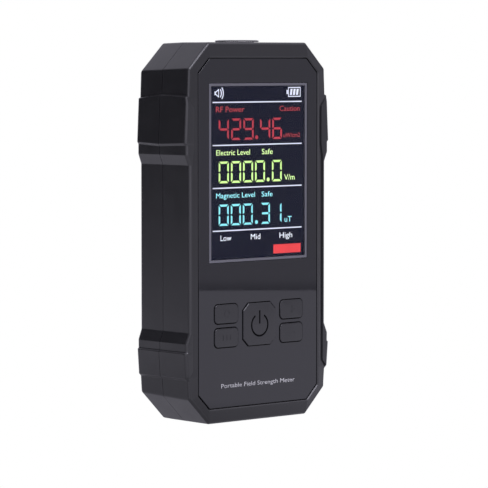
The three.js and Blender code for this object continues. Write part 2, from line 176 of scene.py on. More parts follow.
def soften(target, width):
    """Rounds every edge that turns by more than 40 degrees."""
    rounding = target.modifiers.new("soften", "BEVEL")
    rounding.width = width
    rounding.segments = 2
    rounding.limit_method = "ANGLE"
    rounding.angle_limit = math.radians(40)
    rounding.use_clamp_overlap = False
    rounding.miter_outer = "MITER_ARC"
    settle(target)
    return target


def loft(name, rings):
    """A closed skin through rings of equal point counts, with a flat face on the first and last."""
    count = len(rings[0])
    points = [point for ring in rings for point in ring]
    faces = []
    for layer in range(len(rings) - 1):
        for index in range(count):
            here = layer * count + index
            beside = layer * count + (index + 1) % count
            faces.append((here, beside, beside + count, here + count))
    faces.append(tuple(range(count)))
    faces.append(tuple(range((len(rings) - 1) * count, len(rings) * count)))
    return shape(name, points, faces)


def rounded_layers(front, back, rounding):
    """Depth and inset of each layer of a plate whose front and back edges are rounded."""
    steps = 3
    if not rounding:
        return [(front, 0), (back, 0)]
    turns = [math.pi / 2 * step / steps for step in range(steps + 1)]
    drop = [(rounding * (1 - math.sin(turn)), rounding * (1 - math.cos(turn))) for turn in turns]
    near = [(front + down, inset) for down, inset in reversed(drop)]
    far = [(back - down, inset) for down, inset in drop]
    return near + far


def flat_plate(outline, front, back, rounding=0, name="plate"):
    """A flat outline in X and Z from one depth to another."""
    rings = []
    for depth, inset in rounded_layers(front, back, rounding):
        rings.append([offset_point(outline, index, inset, depth) for index in range(len(outline))])
    return loft(name, rings)


def offset_point(outline, index, inset, depth):
    """One outline point moved inwards square to its two edges."""
    here = Vector(outline[index])
    before = (here - Vector(outline[index - 1])).normalized()
    after = (Vector(outline[(index + 1) % len(outline)]) - here).normalized()
    inward = (Vector((-before.y, before.x)) + Vector((-after.y, after.x))).normalized()
    mitre = inset / max(inward.dot(Vector((-before.y, before.x))), 0.5)
    moved = here + inward * mitre
    return Vector((moved.x, depth, moved.y))


def box(x, y, z, name="box"):
    """A rectangular block between the two values given for each axis."""
    outline = [(x[0], z[0]), (x[1], z[0]), (x[1], z[1]), (x[0], z[1])]
    return flat_plate(outline, y[0], y[1], name=name)


def cut_rectangle(half, low, high, leg, centre=0):
    """A rectangle with cut corners, seen from the front."""
    right = [(half - leg, low), (half, low + leg), (half, high - leg), (half - leg, high)]
    left = [(-x, z) for x, z in reversed(right)]
    return [(centre + x, z) for x, z in right + left]


def round_rectangle(centre, middle, width, height, radius):
    """A rectangle with round corners, seen from the front."""
    steps = 6
    points = []
    corners = [(1, -1, -90), (1, 1, 0), (-1, 1, 90), (-1, -1, 180)]
    for side, up, start in corners:
        x = centre + side * (width / 2 - radius)
        z = middle + up * (height / 2 - radius)
        for step in range(steps + 1):
            turn = math.radians(start + 90 * step / steps)
            points.append((x + radius * math.cos(turn), z + radius * math.sin(turn)))
    return points


def circle(centre, radius, sides):
    """Points round a circle."""
    turns = [2 * math.pi * side / sides for side in range(sides)]
    return [(centre[0] + radius * math.cos(turn), centre[1] + radius * math.sin(turn)) for turn in turns]


def lathe(name, profile, axis, centre, sides=48):
    """A turned profile of (radius, along) points; the axis letter says which way it runs."""
    rings = []
    for radius, along in profile:
        points = circle(centre, radius, sides)
        if axis == "Y":
            rings.append([(a, along, b) for a, b in points])
        elif axis == "Z":
            rings.append([(a, b, along) for a, b in points])
        else:
            rings.append([(along, a, b) for a, b in points])
    return loft(name, rings)


def tube(name, path, radius, sides=10):
    """A round wire along a path of points."""
    rings = []
    normal = Vector((0, 0, 1))
    for index, point in enumerate(path):
        ahead = path[min(index + 1, len(path) - 1)]
        behind = path[max(index - 1, 0)]
        along = (Vector(ahead) - Vector(behind)).normalized()
        normal = (normal - along * normal.dot(along)).normalized()
        across = along.cross(normal)
        ring = []
        for side in range(sides):
            turn = 2 * math.pi * side / sides
            ring.append(Vector(point) + (normal * math.cos(turn) + across * math.sin(turn)) * radius)
        rings.append(ring)
    return loft(name, rings)


def bend(start, corner, end, steps, sharpness=0.7071):
    """A rounded corner between two points, as a conic."""
    points = []
    for step in range(steps + 1):
        t = step / steps
        a, b, c = (1 - t) ** 2, 2 * t * (1 - t) * sharpness, t * t
        total = a + b + c
        points.append(tuple((a * p + b * q + c * r) / total for p, q, r in zip(start, corner, end)))
    return points


def piece(target, body, look, replaces=()):
    """Finishes a shape: metres, shading, material, body and the CAD nodes that it stands for."""
    target.data.transform(Matrix.Scale(MM, 4))
    target.data.polygons.foreach_set("use_smooth", [True] * len(target.data.polygons))
    target.data.set_sharp_from_angle(angle=math.radians(30))
    target.data.materials.clear()
    target.data.materials.append(look)
    shading = target.modifiers.new("even shading", "WEIGHTED_NORMAL")
    shading.keep_sharp = True
    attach(target, body)
    if replaces:
        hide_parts(*replaces)
    return target


# ------------------------------------------------------------------ materials


def srgb(red, green, blue):
    """Screen values of 0 to 255 as linear light."""
    def linear(value):
        part = value / 255
        return part / 12.92 if part <= 0.04045 else ((part + 0.055) / 1.055) ** 2.4
    return (linear(red), linear(green), linear(blue), 1)


def grey(level):
    return (level, level, level, 1)


def feed(tree, made, inputs):
    """Sets a node's inputs, each from a value or from another node's socket."""
    for key, value in inputs.items():
        if isinstance(value, bpy.types.NodeSocket):
            tree.links.new(value, made.inputs[key])
        else:
            made.inputs[key].default_value = value


def add_node(tree, kind, inputs=None, **settings):
    """One shader node, with its settings and its inputs."""
    made = tree.nodes.new(kind)
    for name, value in settings.items():
        setattr(made, name, value)
    feed(tree, made, inputs or {})
    return made


def math_node(tree, operation, a, b=0.0):
    return add_node(tree, "ShaderNodeMath", {0: a, 1: b}, operation=operation).outputs[0]


def remap(tree, value, start, end, low, high):
    """A value carried from one range to another."""
    inputs = {"Value": value, "From Min": start, "From Max": end, "To Min": low, "To Max": high}
    return add_node(tree, "ShaderNodeMapRange", inputs, clamp=True).outputs["Result"]


def blend(tree, amount, first, second):
    """A mix of two colours."""
    colours = {0: amount, 6: first, 7: second}
    return add_node(tree, "ShaderNodeMix", colours, data_type="RGBA").outputs[2]


def new_material(name):
    """A material with one Principled shader: (material, its node tree, the shader)."""
    made = bpy.data.materials.new(name)
    made.use_nodes = True
    tree = made.node_tree
    return made, tree, tree.nodes["Principled BSDF"]


def object_place(tree):
    return add_node(tree, "ShaderNodeTexCoord").outputs["Object"]


def noise(tree, place, scale, detail=2.0, roughness=0.5):
    inputs = {"Vector": place, "Scale": scale, "Detail": detail, "Roughness": roughness}
    return add_node(tree, "ShaderNodeTexNoise", inputs).outputs["Fac"]


def bump(tree, shader, height, depth):
    """Surface relief of a height pattern, its depth in millimetres."""
    inputs = {"Height": height, "Distance": depth * MM, "Strength": 1.0}
    made = add_node(tree, "ShaderNodeBump", inputs)
    tree.links.new(made.outputs["Normal"], shader.inputs["Normal"])


def ripples(tree, value, pitch):
    """Waves along a value, a pitch in millimetres apart."""
    return math_node(tree, "SINE", math_node(tree, "MULTIPLY", value, 2 * math.pi / (pitch * MM)))


def moulded(name, colour, roughness, grain=0.4, grain_depth=0.006, mottle=0.12, wear=0.5, level=0.5):
    """Moulded plastic: fine grain, faint patches of colour and gloss, and rubbed edges."""
    made, tree, shader = new_material(name)
    place = object_place(tree)
    fine = noise(tree, place, 1 / (grain * MM), 2.0)
    patches = noise(tree, place, 55, 4.0, 0.6)
    fingers = noise(tree, place, 160, 3.0, 0.55)
    dark = tuple(part * (1 - mottle) for part in colour[:3]) + (1,)
    light = tuple(part * (1 + mottle) for part in colour[:3]) + (1,)
    base = blend(tree, patches, dark, light)
    edges = add_node(tree, "ShaderNodeNewGeometry").outputs["Pointiness"]
    rubbed = remap(tree, edges, 0.52, 0.62, 0.0, wear)
    worn = math_node(tree, "MULTIPLY", rubbed, fingers)
    pale = tuple(min(part * 2.4 + 0.004, 1) for part in colour[:3]) + (1,)
    tree.links.new(blend(tree, worn, base, pale), shader.inputs["Base Color"])
    gloss = remap(tree, fingers, 0.3, 0.7, roughness - 0.04, roughness + 0.04)
    polished = math_node(tree, "MULTIPLY_ADD", worn, -0.12)
    polished.node.inputs[2].default_value = 0
    tree.links.new(gloss, polished.node.inputs[2])
    tree.links.new(polished, shader.inputs["Roughness"])
    shader.inputs["Specular IOR Level"].default_value = level
    bump(tree, shader, fine, grain_depth)
    return made


def polished_panel(name, colour, roughness, wave_depth=0.0015):
    """Gloss panel: faint long waves in the sheet and light smears."""
    made, tree, shader = new_material(name)
    place = object_place(tree)
    waves = noise(tree, place, 70, 1.0, 0.4)
    smears = noise(tree, place, 240, 4.0, 0.6)
    light = tuple(part * 1.3 for part in colour[:3]) + (1,)
    tree.links.new(blend(tree, smears, colour, light), shader.inputs["Base Color"])
    gloss = remap(tree, smears, 0.25, 0.75, roughness * 0.5, roughness * 1.5)
    tree.links.new(gloss, shader.inputs["Roughness"])
    bump(tree, shader, waves, wave_depth)
    return made


def clear_cover(name):
    """Clear coated cover: it shows the display and keeps only a faint reflection."""
    made, tree, shader = new_material(name)
    place = object_place(tree)
    smears = noise(tree, place, 180, 4.0, 0.6)
    tree.links.new(remap(tree, smears, 0.3, 0.7, 0.0, 0.03), shader.inputs["Roughness"])
    shader.inputs["Base Color"].default_value = grey(1.0)
    shader.inputs["Transmission Weight"].default_value = 1.0
    shader.inputs["IOR"].default_value = 1.12
    bump(tree, shader, noise(tree, place, 60, 1.0), 0.004)
    return made


def glowing(name, colour, strength=1.0, unevenness=0.08, base=(0.01, 0.01, 0.012, 1)):
    """Lit figures of a colour display, with its fine rows of dots and slightly uneven light."""
    made, tree, shader = new_material(name)
    place = object_place(tree)
    parts = add_node(tree, "ShaderNodeSeparateXYZ", {0: place})
    dot_pitch = 0.11
    rows = ripples(tree, parts.outputs["Z"], dot_pitch)
    columns = ripples(tree, parts.outputs["X"], dot_pitch)
    dots = math_node(tree, "MULTIPLY", rows, columns)
    fine = remap(tree, dots, -1, 1, 1 - unevenness, 1 + unevenness)
    patches = remap(tree, noise(tree, place, 120, 2.0), 0.3, 0.7, 1 - unevenness, 1 + unevenness)
    light = math_node(tree, "MULTIPLY", fine, patches)
    shader.inputs["Base Color"].default_value = base
    shader.inputs["Roughness"].default_value = 0.35
    shader.inputs["Specular IOR Level"].default_value = 0.1
    shader.inputs["Emission Color"].default_value = colour
    tree.links.new(math_node(tree, "MULTIPLY", light, strength), shader.inputs["Emission Strength"])
    return made


def metal(name, colour, roughness, brush=(1, 1, 1), scale=900.0, tarnish=0.2, depth=0.004):
    """Bare or plated metal with brush lines and faint tarnish."""
    made, tree, shader = new_material(name)
    place = object_place(tree)
    stretched = add_node(tree, "ShaderNodeMapping", {"Vector": place, "Scale": brush}).outputs[0]
    lines = noise(tree, stretched, scale, 3.0, 0.6)
    patches = noise(tree, place, 220, 3.0, 0.6)
    dull = tuple(part * (1 - tarnish) for part in colour[:3]) + (1,)
    tree.links.new(blend(tree, patches, dull, colour), shader.inputs["Base Color"])
    shader.inputs["Metallic"].default_value = 1.0
    gloss = remap(tree, lines, 0.2, 0.8, roughness - 0.08, roughness + 0.1)
    tree.links.new(gloss, shader.inputs["Roughness"])
    bump(tree, shader, lines, depth)
    return made


def winding(name, colour):
    """Enamelled copper: close turns of wire, with painted shade in the grooves between them."""
    made, tree, shader = new_material(name)
    place = object_place(tree)
    parts = add_node(tree, "ShaderNodeSeparateXYZ", {0: place})
    level = math_node(tree, "ADD", parts.outputs["X"], parts.outputs["Y"])
    wire_pitch = 0.25
    turns = ripples(tree, math_node(tree, "ADD", level, parts.outputs["Z"]), wire_pitch)
    height = remap(tree, turns, -1, 1, 0.0, 1.0)
    patches = noise(tree, place, 300, 2.0)
    bright = blend(tree, patches, colour, tuple(part * 1.25 for part in colour[:3]) + (1,))
    # painted shade: the grooves between turns take a third of the copper's colour
    dark = tuple(part * 0.35 for part in colour[:3]) + (1,)
    tree.links.new(blend(tree, height, dark, bright), shader.inputs["Base Color"])
    shader.inputs["Metallic"].default_value = 0.9
    tree.links.new(remap(tree, patches, 0.2, 0.8, 0.22, 0.36), shader.inputs["Roughness"])
    bump(tree, shader, height, 0.08)
    return made


def circuit_board(name):
    """Green solder mask with copper tracks under it and rows of tinned pads."""
    made, tree, shader = new_material(name)
    place = object_place(tree)
    upright = (math.radians(90), 0, 0)
    flat = add_node(tree, "ShaderNodeMapping", {"Vector": place, "Rotation": upright}).outputs[0]
    brick = {"Vector": flat, "Scale": 420.0, "Mortar Size": 0.06, "Brick Width": 0.9, "Row Height": 0.35}
    tracks = add_node(tree, "ShaderNodeTexBrick", brick).outputs["Fac"]
    cells = add_node(tree, "ShaderNodeTexVoronoi", {"Vector": place, "Scale": 260.0}).outputs["Distance"]
    pads = remap(tree, cells, 0.12, 0.16, 1.0, 0.0)
    mask = noise(tree, place, 90, 3.0)
    green = blend(tree, mask, (0.006, 0.085, 0.035, 1), (0.012, 0.13, 0.055, 1))
    traced = blend(tree, tracks, green, (0.03, 0.22, 0.1, 1))
    tree.links.new(blend(tree, pads, traced, (0.55, 0.52, 0.4, 1)), shader.inputs["Base Color"])
    tree.links.new(pads, shader.inputs["Metallic"])
    tree.links.new(remap(tree, mask, 0.3, 0.7, 0.25, 0.38), shader.inputs["Roughness"])
    bump(tree, shader, math_node(tree, "ADD", tracks, pads), 0.02)
    return made


def flexible_circuit(name):
    """Amber film with parallel copper lines showing through."""
    made, tree, shader = new_material(name)
    place = object_place(tree)
    parts = add_node(tree, "ShaderNodeSeparateXYZ", {0: place})
    line_pitch = 0.8
    lines = ripples(tree, parts.outputs["X"], line_pitch)
    copper = remap(tree, lines, -0.1, 0.1, 0.0, 1.0)
    film = blend(tree, noise(tree, place, 200, 2.0), (0.42, 0.17, 0.03, 1), (0.55, 0.24, 0.05, 1))
    tree.links.new(blend(tree, copper, film, (0.3, 0.1, 0.03, 1)), shader.inputs["Base Color"])
    tree.links.new(remap(tree, copper, 0, 1, 0.28, 0.4), shader.inputs["Roughness"])
    bump(tree, shader, copper, 0.02)
    return made


def cell_sleeve(name, plus_up):
    """Printed sleeve of a battery cell: a dark body, a copper band at the plus end and plain rings."""
    made, tree, shader = new_material(name)
    place = object_place(tree)
    height = add_node(tree, "ShaderNodeSeparateXYZ", {0: place}).outputs["Z"]
    low, high = node_box("left_cell")
    start, end = (low.z, high.z) if plus_up else (high.z, low.z)
    along = remap(tree, height, start * MM, end * MM, 0.0, 1.0)
    band = remap(tree, along, 0.68, 0.683, 0.0, 1.0)
    ring_start = remap(tree, along, 0.64, 0.642, 0, 1)
    ring = math_node(tree, "MULTIPLY", ring_start, remap(tree, along, 0.655, 0.657, 1, 0))
    plus_end = remap(tree, along, 0.955, 0.957, 0, 1)
    metal_end = math_node(tree, "ADD", plus_end, remap(tree, along, 0.012, 0.014, 1, 0))
    scuffs = noise(tree, place, 700, 4.0, 0.6)
    body = blend(tree, scuffs, (0.012, 0.03, 0.075, 1), (0.02, 0.045, 0.11, 1))
    copper = blend(tree, scuffs, (0.5, 0.24, 0.1, 1), (0.62, 0.32, 0.15, 1))
    colour = blend(tree, band, body, copper)
    colour = blend(tree, ring, colour, (0.6, 0.6, 0.58, 1))
    tree.links.new(blend(tree, metal_end, colour, (0.66, 0.66, 0.67, 1)), shader.inputs["Base Color"])
    metallic = math_node(tree, "MAXIMUM", metal_end, math_node(tree, "MULTIPLY", band, 0.7))
    tree.links.new(metallic, shader.inputs["Metallic"])
    tree.links.new(remap(tree, scuffs, 0.3, 0.7, 0.2, 0.34), shader.inputs["Roughness"])
    bump(tree, shader, scuffs, 0.004)
    return made


case_look = moulded("case_black", (0.0095, 0.0095, 0.0105, 1), 0.33, grain=0.45, grain_depth=0.007)
door_look = moulded("door_black", (0.0090, 0.0090, 0.0100, 1), 0.36, grain=0.45, grain_depth=0.008)
cap_look = moulded("cap_black", (0.0100, 0.0100, 0.0110, 1), 0.26, grain=0.4, grain_depth=0.004)
key_look = moulded("key_black", (0.0085, 0.0085, 0.0100, 1), 0.16, grain=0.6, grain_depth=0.003, wear=0.8)
panel_look = polished_panel("panel_gloss_black", (0.0065, 0.0065, 0.0085, 1), 0.02)
border_look = moulded("border_grey", srgb(86, 86, 92), 0.42, grain=0.3, grain_depth=0.004, wear=0.15)
window_look = clear_cover("window_clear")
white_look = moulded("white_plastic", (0.62, 0.62, 0.6, 1), 0.45, grain=0.3, wear=0.1)
chip_look = moulded("chip_resin", (0.018, 0.018, 0.019, 1), 0.55, grain=0.25, grain_depth=0.01)
steel_look = metal("plated_steel", (0.55, 0.56, 0.57, 1), 0.3, brush=(1, 1, 12))
spring_look = metal("nickel_wire", (0.62, 0.63, 0.65, 1), 0.22, brush=(8, 8, 1))
screw_look = metal("zinc_screw", (0.42, 0.43, 0.45, 1), 0.34, brush=(3, 1, 1), tarnish=0.35)
copper_look = winding("copper_winding", (0.55, 0.25, 0.12, 1))
board_look = circuit_board("board_green")
flex_look = flexible_circuit("flex_amber")

# ------------------------------------------------------------------ the case

ARC_STEPS = 5
SPAN_STEPS = 8


def grip_table(z):
    """How far the side stands out at a height, straight from the table."""
    if z <= GRIP[0][0] or z >= GRIP[-1][0]:
        return 0.0
    for (z0, out0), (z1, out1) in zip(GRIP, GRIP[1:]):
        if z <= z1:
            return out0 + (out1 - out0) * (z - z0) / (z1 - z0)
    return 0.0


def grip(z):
    """The same with its edges a little rounded."""
    reach = 0.12
    samples = [grip_table(z + reach * step / 4) for step in range(-4, 5)]
    return sum(samples) / len(samples)


def side_levels():
    """Heights at which the side wall has points: close together round each edge of the grips."""
    wanted = [10.9 + 1.5 * step for step in range(16)]
    wanted += [38 + 6 * step for step in range(8)]
    wanted += [86 + 1.5 * step for step in range(22)]
    wanted += [z + shift for z, _ in GRIP[1:-1] for shift in (-0.3, -0.13, 0, 0.13, 0.3)]
    levels = []
    for z in sorted(wanted):
        if not levels or z - levels[-1] > 0.06:
            levels.append(z)
    return [z for z in levels if z < 118.4]


LEVELS = side_levels()


def octagon(half, low, high, leg, rounding):
    """Points round a cut-corner rectangle with small rounded corners, and which way each faces."""
    corners = [(half - leg, low), (half, low + leg), (half, high - leg), (half - leg, high)]
    corners += [(-x, z) for x, z in reversed(corners)]
    eighth = math.radians(45)
    reach = rounding / math.cos(eighth / 2)
    arcs = []
    for index, corner in enumerate(corners):
        start = math.radians(-90) + eighth * index
        middle = start + eighth / 2
        centre = Vector((corner[0] - math.cos(middle) * reach, corner[1] - math.sin(middle) * reach))
        arc = []
        for step in range(ARC_STEPS + 1):
            facing = start + eighth * step / ARC_STEPS
            way = Vector((math.cos(facing), math.sin(facing)))
            arc.append((centre + way * rounding, way))
        arcs.append(arc)
    points = []
    for index, arc in enumerate(arcs):
        points += arc
        first, way = arc[-1]
        last = arcs[(index + 1) % len(arcs)][0][0]
        if index in (1, 5):
            points += [(Vector((first.x, z)), way) for z in side_heights(first.y, last.y)]
        else:
            points += [(first.lerp(last, step / SPAN_STEPS), way) for step in range(1, SPAN_STEPS)]
    return points


def side_heights(start, end):
    """The side levels fitted between the two corners of a side, in the order asked for."""
    low, high = min(start, end), max(start, end)
    squeeze = 0.1
    heights = []
    for z in LEVELS:
        above = max(z, low + (z - LEVELS[0] + 1) * squeeze)
        heights.append(min(above, high - (LEVELS[-1] + 1 - z) * squeeze))
    return heights if start < end else heights[::-1]


FRONT_EDGE = octagon(*FRONT_OUTLINE)
REAR_EDGE = octagon(*REAR_OUTLINE)
SEAT_EDGE = [point for point, _ in octagon(*SEAT_OUTLINE)]
BACK_RIM = [point for point, _ in octagon(*BACK_OUTLINE)]


def grip_end_tilt(z, depth):
    """Slants of the upper grip: its top end is highest, and its crest lowest, where the shells meet."""
    ahead = max(PARTING - depth, 0) / 13
    behind = max(depth - PARTING, 0) / 11
    end = (0.8 - 0.5 * ahead - 1.15 * behind) * ease(z, 104, 109.5) * ease(z, 117, 112)
    crest = 0.45 * (1 - ahead - behind) * ease(z, 92.5, 94.5) * ease(z, 99, 95.6)
    return end - crest


def outline_point(index, depth):
    """The outline at a depth: further back its corners are cut more, and its top and base lean in."""
    straight = RING_EDGE + 1.5
    part = min(max((depth - straight) / (BACK_EDGE - straight), 0), 1)
    point = FRONT_EDGE[index][0].lerp(REAR_EDGE[index][0], part)
    reach = 10
    top_drop = 0.3 * min(max(depth, 0) / BACK_EDGE, 1)
    base_rise = 0.1 * min(max(depth - 8, 0) / (BACK_EDGE - 8), 1)
    z = point.y - top_drop * max(point.y - (TOP - reach), 0) / reach
    z += base_rise * max(reach - point.y, 0) / reach
    return Vector((point.x, z))


def bumped(index, depth):
    """Outer point at a depth, the grip's push outwards, the way it faces and whether it is a side."""
    point = outline_point(index, depth)
    way = FRONT_EDGE[index][1]
    side = abs(way.y) < 0.01
    push = grip(point.y) if side else 0.0
    return point + Vector((math.copysign(push, point.x), 0)), push, way, side


def skin_point(index, inner, inset, depth):
    """A point of the case skin, that far in from the outside towards an inner outline."""
    edge, _, way, side = bumped(index, depth)
    width = (edge - inner[index]).dot(way)
    place = edge.lerp(inner[index], inset / width)
    z = place.y
    if side:
        z += grip_end_tilt(z, depth)
    return (place.x, depth, z)


def ring_width(index, inner, depth):
    edge, _, way, _ = bumped(index, depth)
    return (edge - inner[index]).dot(way)


def strip_width(z, push, side):
    """How far the raised strip along the side reaches across the front ring at a height."""
    if not side:
        return 0.0
    inboard = 1.4 + 0.8 * ease(z, 89, 94.5)
    ends = min(ease(z, 15.2, 18.5), ease(z, 110.8, 106.5))
    return (push + inboard) * ends


def front_section(index):
    """Inset and depth of the front shell's skin at one place round it, from the parting to the seat."""
    outer, push, _, side = bumped(index, LIP)
    width = ring_width(index, SEAT_EDGE, LIP)
    strip = strip_width(outer.y, push, side)
    raised = ease(strip, 0.2, 1.2)
    edge = 0.85 + 0.3 * raised
    foot = min(max(strip, edge + 0.25), width - 0.9)

    def ring(inset):
        part = max(inset - foot, 0) / (width - 0.55 - foot)
        return RING_EDGE + (LIP - RING_EDGE) * min(part, 1)

    def strip_top(inset):
        return ring(inset) + (LIP + 0.03 - ring(inset)) * raised

    wall = [(0, PARTING_FRONT), (0, PARTING_FRONT - 1), (0, -3.5), (0, -6.5)]
    bevel = bend((0, strip_top(0) + edge), (0, strip_top(0)), (edge, strip_top(edge)), 8, 0.36)
    shelf = [(foot - 0.08, strip_top(foot - 0.08)), (foot + 0.06, ring(foot + 0.06))]
    lip = [(width - 0.6, LIP + 0.02), (width - 0.5, LIP), (width - 0.32, LIP)]
    lip += [(width, LIP + 0.32), (width, SEAT)]
    return wall + bevel + shelf + lip


def back_section(index):
    """Inset and depth of the back shell's skin at one place round it, from the parting to the back."""
    width = ring_width(index, BACK_RIM, BACK_EDGE)
    lean = 0.05 * bumped(index, BACK_EDGE)[1]
    slope = Vector((width - lean, BACK - BACK_EDGE)).normalized()
    corner = Vector((lean, BACK_EDGE))
    end = Vector((width, BACK))
    groove = 0.3
    wall = [(groove, CONTACT), (groove, PARTING_BACK), (0, PARTING_BACK)]
    wall += [(0, PARTING_BACK + 1), (lean * 0.6, 6)]
    first = bend((lean * 0.9, BACK_EDGE - 0.6), corner, corner + slope * 0.6, 5)
    last = bend(end - slope * 0.6, end, (width + 0.6, BACK), 5)
    return wall + first + last


def skin_rings(inner, section):
    """Rings of skin points from a section that may differ at each place round the case."""
    sections = [section(index) for index in range(len(FRONT_EDGE))]
    rings = []
    for station in range(len(sections[0])):
        ring = []
        for index, points in enumerate(sections):
            inset, depth = points[station]
            ring.append(skin_point(index, inner, inset, depth))
        rings.append(ring)
    return rings


def front_shell():
    """The front half: skin, sloping ring, panel seat with its holes, bosses and posts."""
    inside = [(WALL + 0.5, FRONT_WALL_BACK), (WALL, FRONT_WALL_BACK + 0.5), (WALL, PARTING_FRONT)]
    cavity = skin_rings(SEAT_EDGE, lambda index: inside)
    shell = loft("front_case", cavity + skin_rings(SEAT_EDGE, front_section))
    holes = [flat_plate(outline, LIP - 1, FRONT_WALL_BACK + 1) for outline in key_outlines(GAP)]
    reach = 0.65
    holes.append(box((BORDER_LOW.x - reach, BORDER_HIGH.x + reach), (LIP - 1, FRONT_WALL_BACK + 1),
                     (BORDER_LOW.z - 0.8, BORDER_HIGH.z + 0.8)))
    holes.append(cap_opening())
    carve(shell, holes)
    bosses = [lathe("boss", [(3, FRONT_WALL_BACK - 0.3), (3, PARTING_FRONT - GAP)], "Y", place, 32)
              for place in CASE_SCREWS]
    bosses += [lathe("post", [(2.2, FRONT_WALL_BACK - 0.3), (2.2, -5.15)], "Y", place, 28)
               for place in BOARD_SCREWS]
    return piece(merge(shell, bosses), CASE, case_look, ["front_shell"])


def cap_opening():
    radius = CAP_NECK + GAP
    return lathe("opening", [(radius, TOP - 6), (radius, TOP + 6)], "Z", CAP_CENTRE, 64)


CASE_SCREWS = [(-17, 10), (17, 10), (-17, 119.4), (17, 119.4)]
BOARD_SCREWS = [(-25.6, 19), (25.6, 19), (-25.6, 107), (25.6, 107)]
BAY_HALF, BAY_LOW, BAY_HIGH, BAY_FLOOR = 16.9, 19.8, 71.2, 2.2
HEAD_SEAT = 12.4                       # depth at which a case screw's head sits in its well
DOOR_SEAT = DOOR_HIGH.y - 1.5 - 0.15


def battery_tub():
    """Walls, floor and door ledge of the battery compartment, with ridges between its cells."""
    wall = 1.5
    tub = box((-BAY_HALF - wall, BAY_HALF + wall), (BAY_FLOOR - wall, DOOR_SEAT),
              (BAY_LOW - wall, BAY_HIGH + wall))
    ledge = box((DOOR_LOW.x - wall, DOOR_HIGH.x + wall), (DOOR_SEAT - 1.4, DOOR_SEAT),
                (DOOR_LOW.z - wall, DOOR_HIGH.z + wall))
    hollow = box((-BAY_HALF, BAY_HALF), (BAY_FLOOR, BACK + 1), (BAY_LOW, BAY_HIGH))
    carve(tub, [ledge], "UNION")
    carve(tub, [hollow])
    pitch = 10.9
    foot, crest = BAY_FLOOR - 0.1, 5.4
    ridges = []
    for step in (-1.5, -0.5, 0.5, 1.5):
        centre = step * pitch
        x0 = max(centre - 1.1, -BAY_HALF + 0.02)
        x1 = min(centre + 1.1, BAY_HALF - 0.02)
        left = centre - 0.2 if x0 < centre - 1 else x0
        right = centre + 0.2 if x1 > centre + 1 else x1
        rings = []
        for z in (26, 66):
            rings.append([(x0, foot, z), (x1, foot, z), (right, crest, z), (left, crest, z)])
        ridges.append(loft("ridge", rings))
    return merge(tub, ridges)


def back_cavity(index):
    """Inset and depth of the back shell's inside at one place round it."""
    width = ring_width(index, BACK_RIM, BACK_EDGE)
    return [(width + 0.8, BACK_WALL_FRONT), (WALL, BACK_EDGE - 0.6), (WALL, CONTACT)]


def back_shell():
    """The back half: bevelled skin, screw wells, door seat, battery compartment and tongue."""
    cavity = skin_rings(BACK_RIM, back_cavity)
    shell = loft("back_case", cavity + skin_rings(BACK_RIM, back_section))
    seat = cut_rectangle(DOOR_HIGH.x + GAP, DOOR_LOW.z - GAP, DOOR_HIGH.z + GAP, 2)
    tools = [flat_plate(seat, DOOR_SEAT, BACK + 1)]
    tools.append(box((-BAY_HALF, BAY_HALF), (BACK_WALL_FRONT - 1, BACK + 1), (BAY_LOW, BAY_HIGH)))
    for place in CASE_SCREWS:
        well = [(1.5, 8), (1.5, HEAD_SEAT), (2.5, HEAD_SEAT), (2.5, BACK - 0.35), (3.2, BACK + 0.35)]
        tools.append(lathe("well", well, "Y", place, 40))
    tools.append(cap_opening())
    carve(shell, tools)
    tongue = []
    for inset, depths in ((WALL + GAP, (-2.3, 1.5)), (WALL + 1.3, (1.5, -2.3))):
        tongue += skin_rings(BACK_RIM, lambda index: [(inset, depth) for depth in depths])
    band = closed_band("tongue", tongue)
    pillars = []
    for place in CASE_SCREWS:
        pillar = lathe("pillar", [(3.6, PARTING_BACK), (3.6, HEAD_SEAT - 0.02)], "Y", place, 32)
        carve(pillar, [lathe("shaft", [(1.5, -3), (1.5, 20)], "Y", place, 24)])
        pillars.append(pillar)
    merge(shell, [battery_tub(), band, *pillars])
    return piece(shell, CASE, case_look, ["back_shell"])


def closed_band(name, rings):
    """A band whose section closes on itself, so it has no flat ends."""
    count = len(rings[0])
    points = [point for ring in rings for point in ring]
    faces = []
    for layer in range(len(rings)):
        beyond = (layer + 1) % len(rings)
        for index in range(count):
            beside = (index + 1) % count
            faces.append((layer * count + index, layer * count + beside, beyond * count + beside,
                          beyond * count + index))
    return shape(name, points, faces)


def battery_door():
    """A flush door with rounded edges, finger ridges, an arrow and a stiffening rib inside."""
    outline = cut_rectangle(DOOR_HIGH.x, DOOR_LOW.z, DOOR_HIGH.z, 2)
    door = flat_plate(outline, BACK - 1.5, BACK, 0.25, name="rear_door")
    top = DOOR_HIGH.z
    grooves = [capsule(-6.5, 6.5, BACK + 0.2, top - 4 - 1.8 * step, 0.62) for step in range(5)]
    tip = top - 15.5
    arrow = flat_plate([(-2.6, tip), (2.6, tip), (0, tip - 3.4)][::-1], BACK - 0.3, BACK + 1)
    carve(door, [*grooves, arrow])
    rib = box((-BAY_HALF + GAP, BAY_HALF - GAP), (BACK - 2, BACK - 1), (BAY_HIGH - 1.6, BAY_HIGH - GAP))
    carve(door, [rib], "UNION")
    return piece(door, "battery_cover", door_look, ["battery_door"])


def capsule(x0, x1, depth, z, radius):
    """A bar along X with round ends."""
    quarter = [math.pi / 2 * step / 5 for step in range(6)]
    near = [(max(radius * math.sin(a), 0.01), x0 - radius * math.cos(a)) for a in quarter]
    far = [(max(radius * math.cos(a), 0.01), x1 + radius * math.sin(a)) for a in quarter]
    return lathe("bar", near + far, "X", (depth, z), 20)


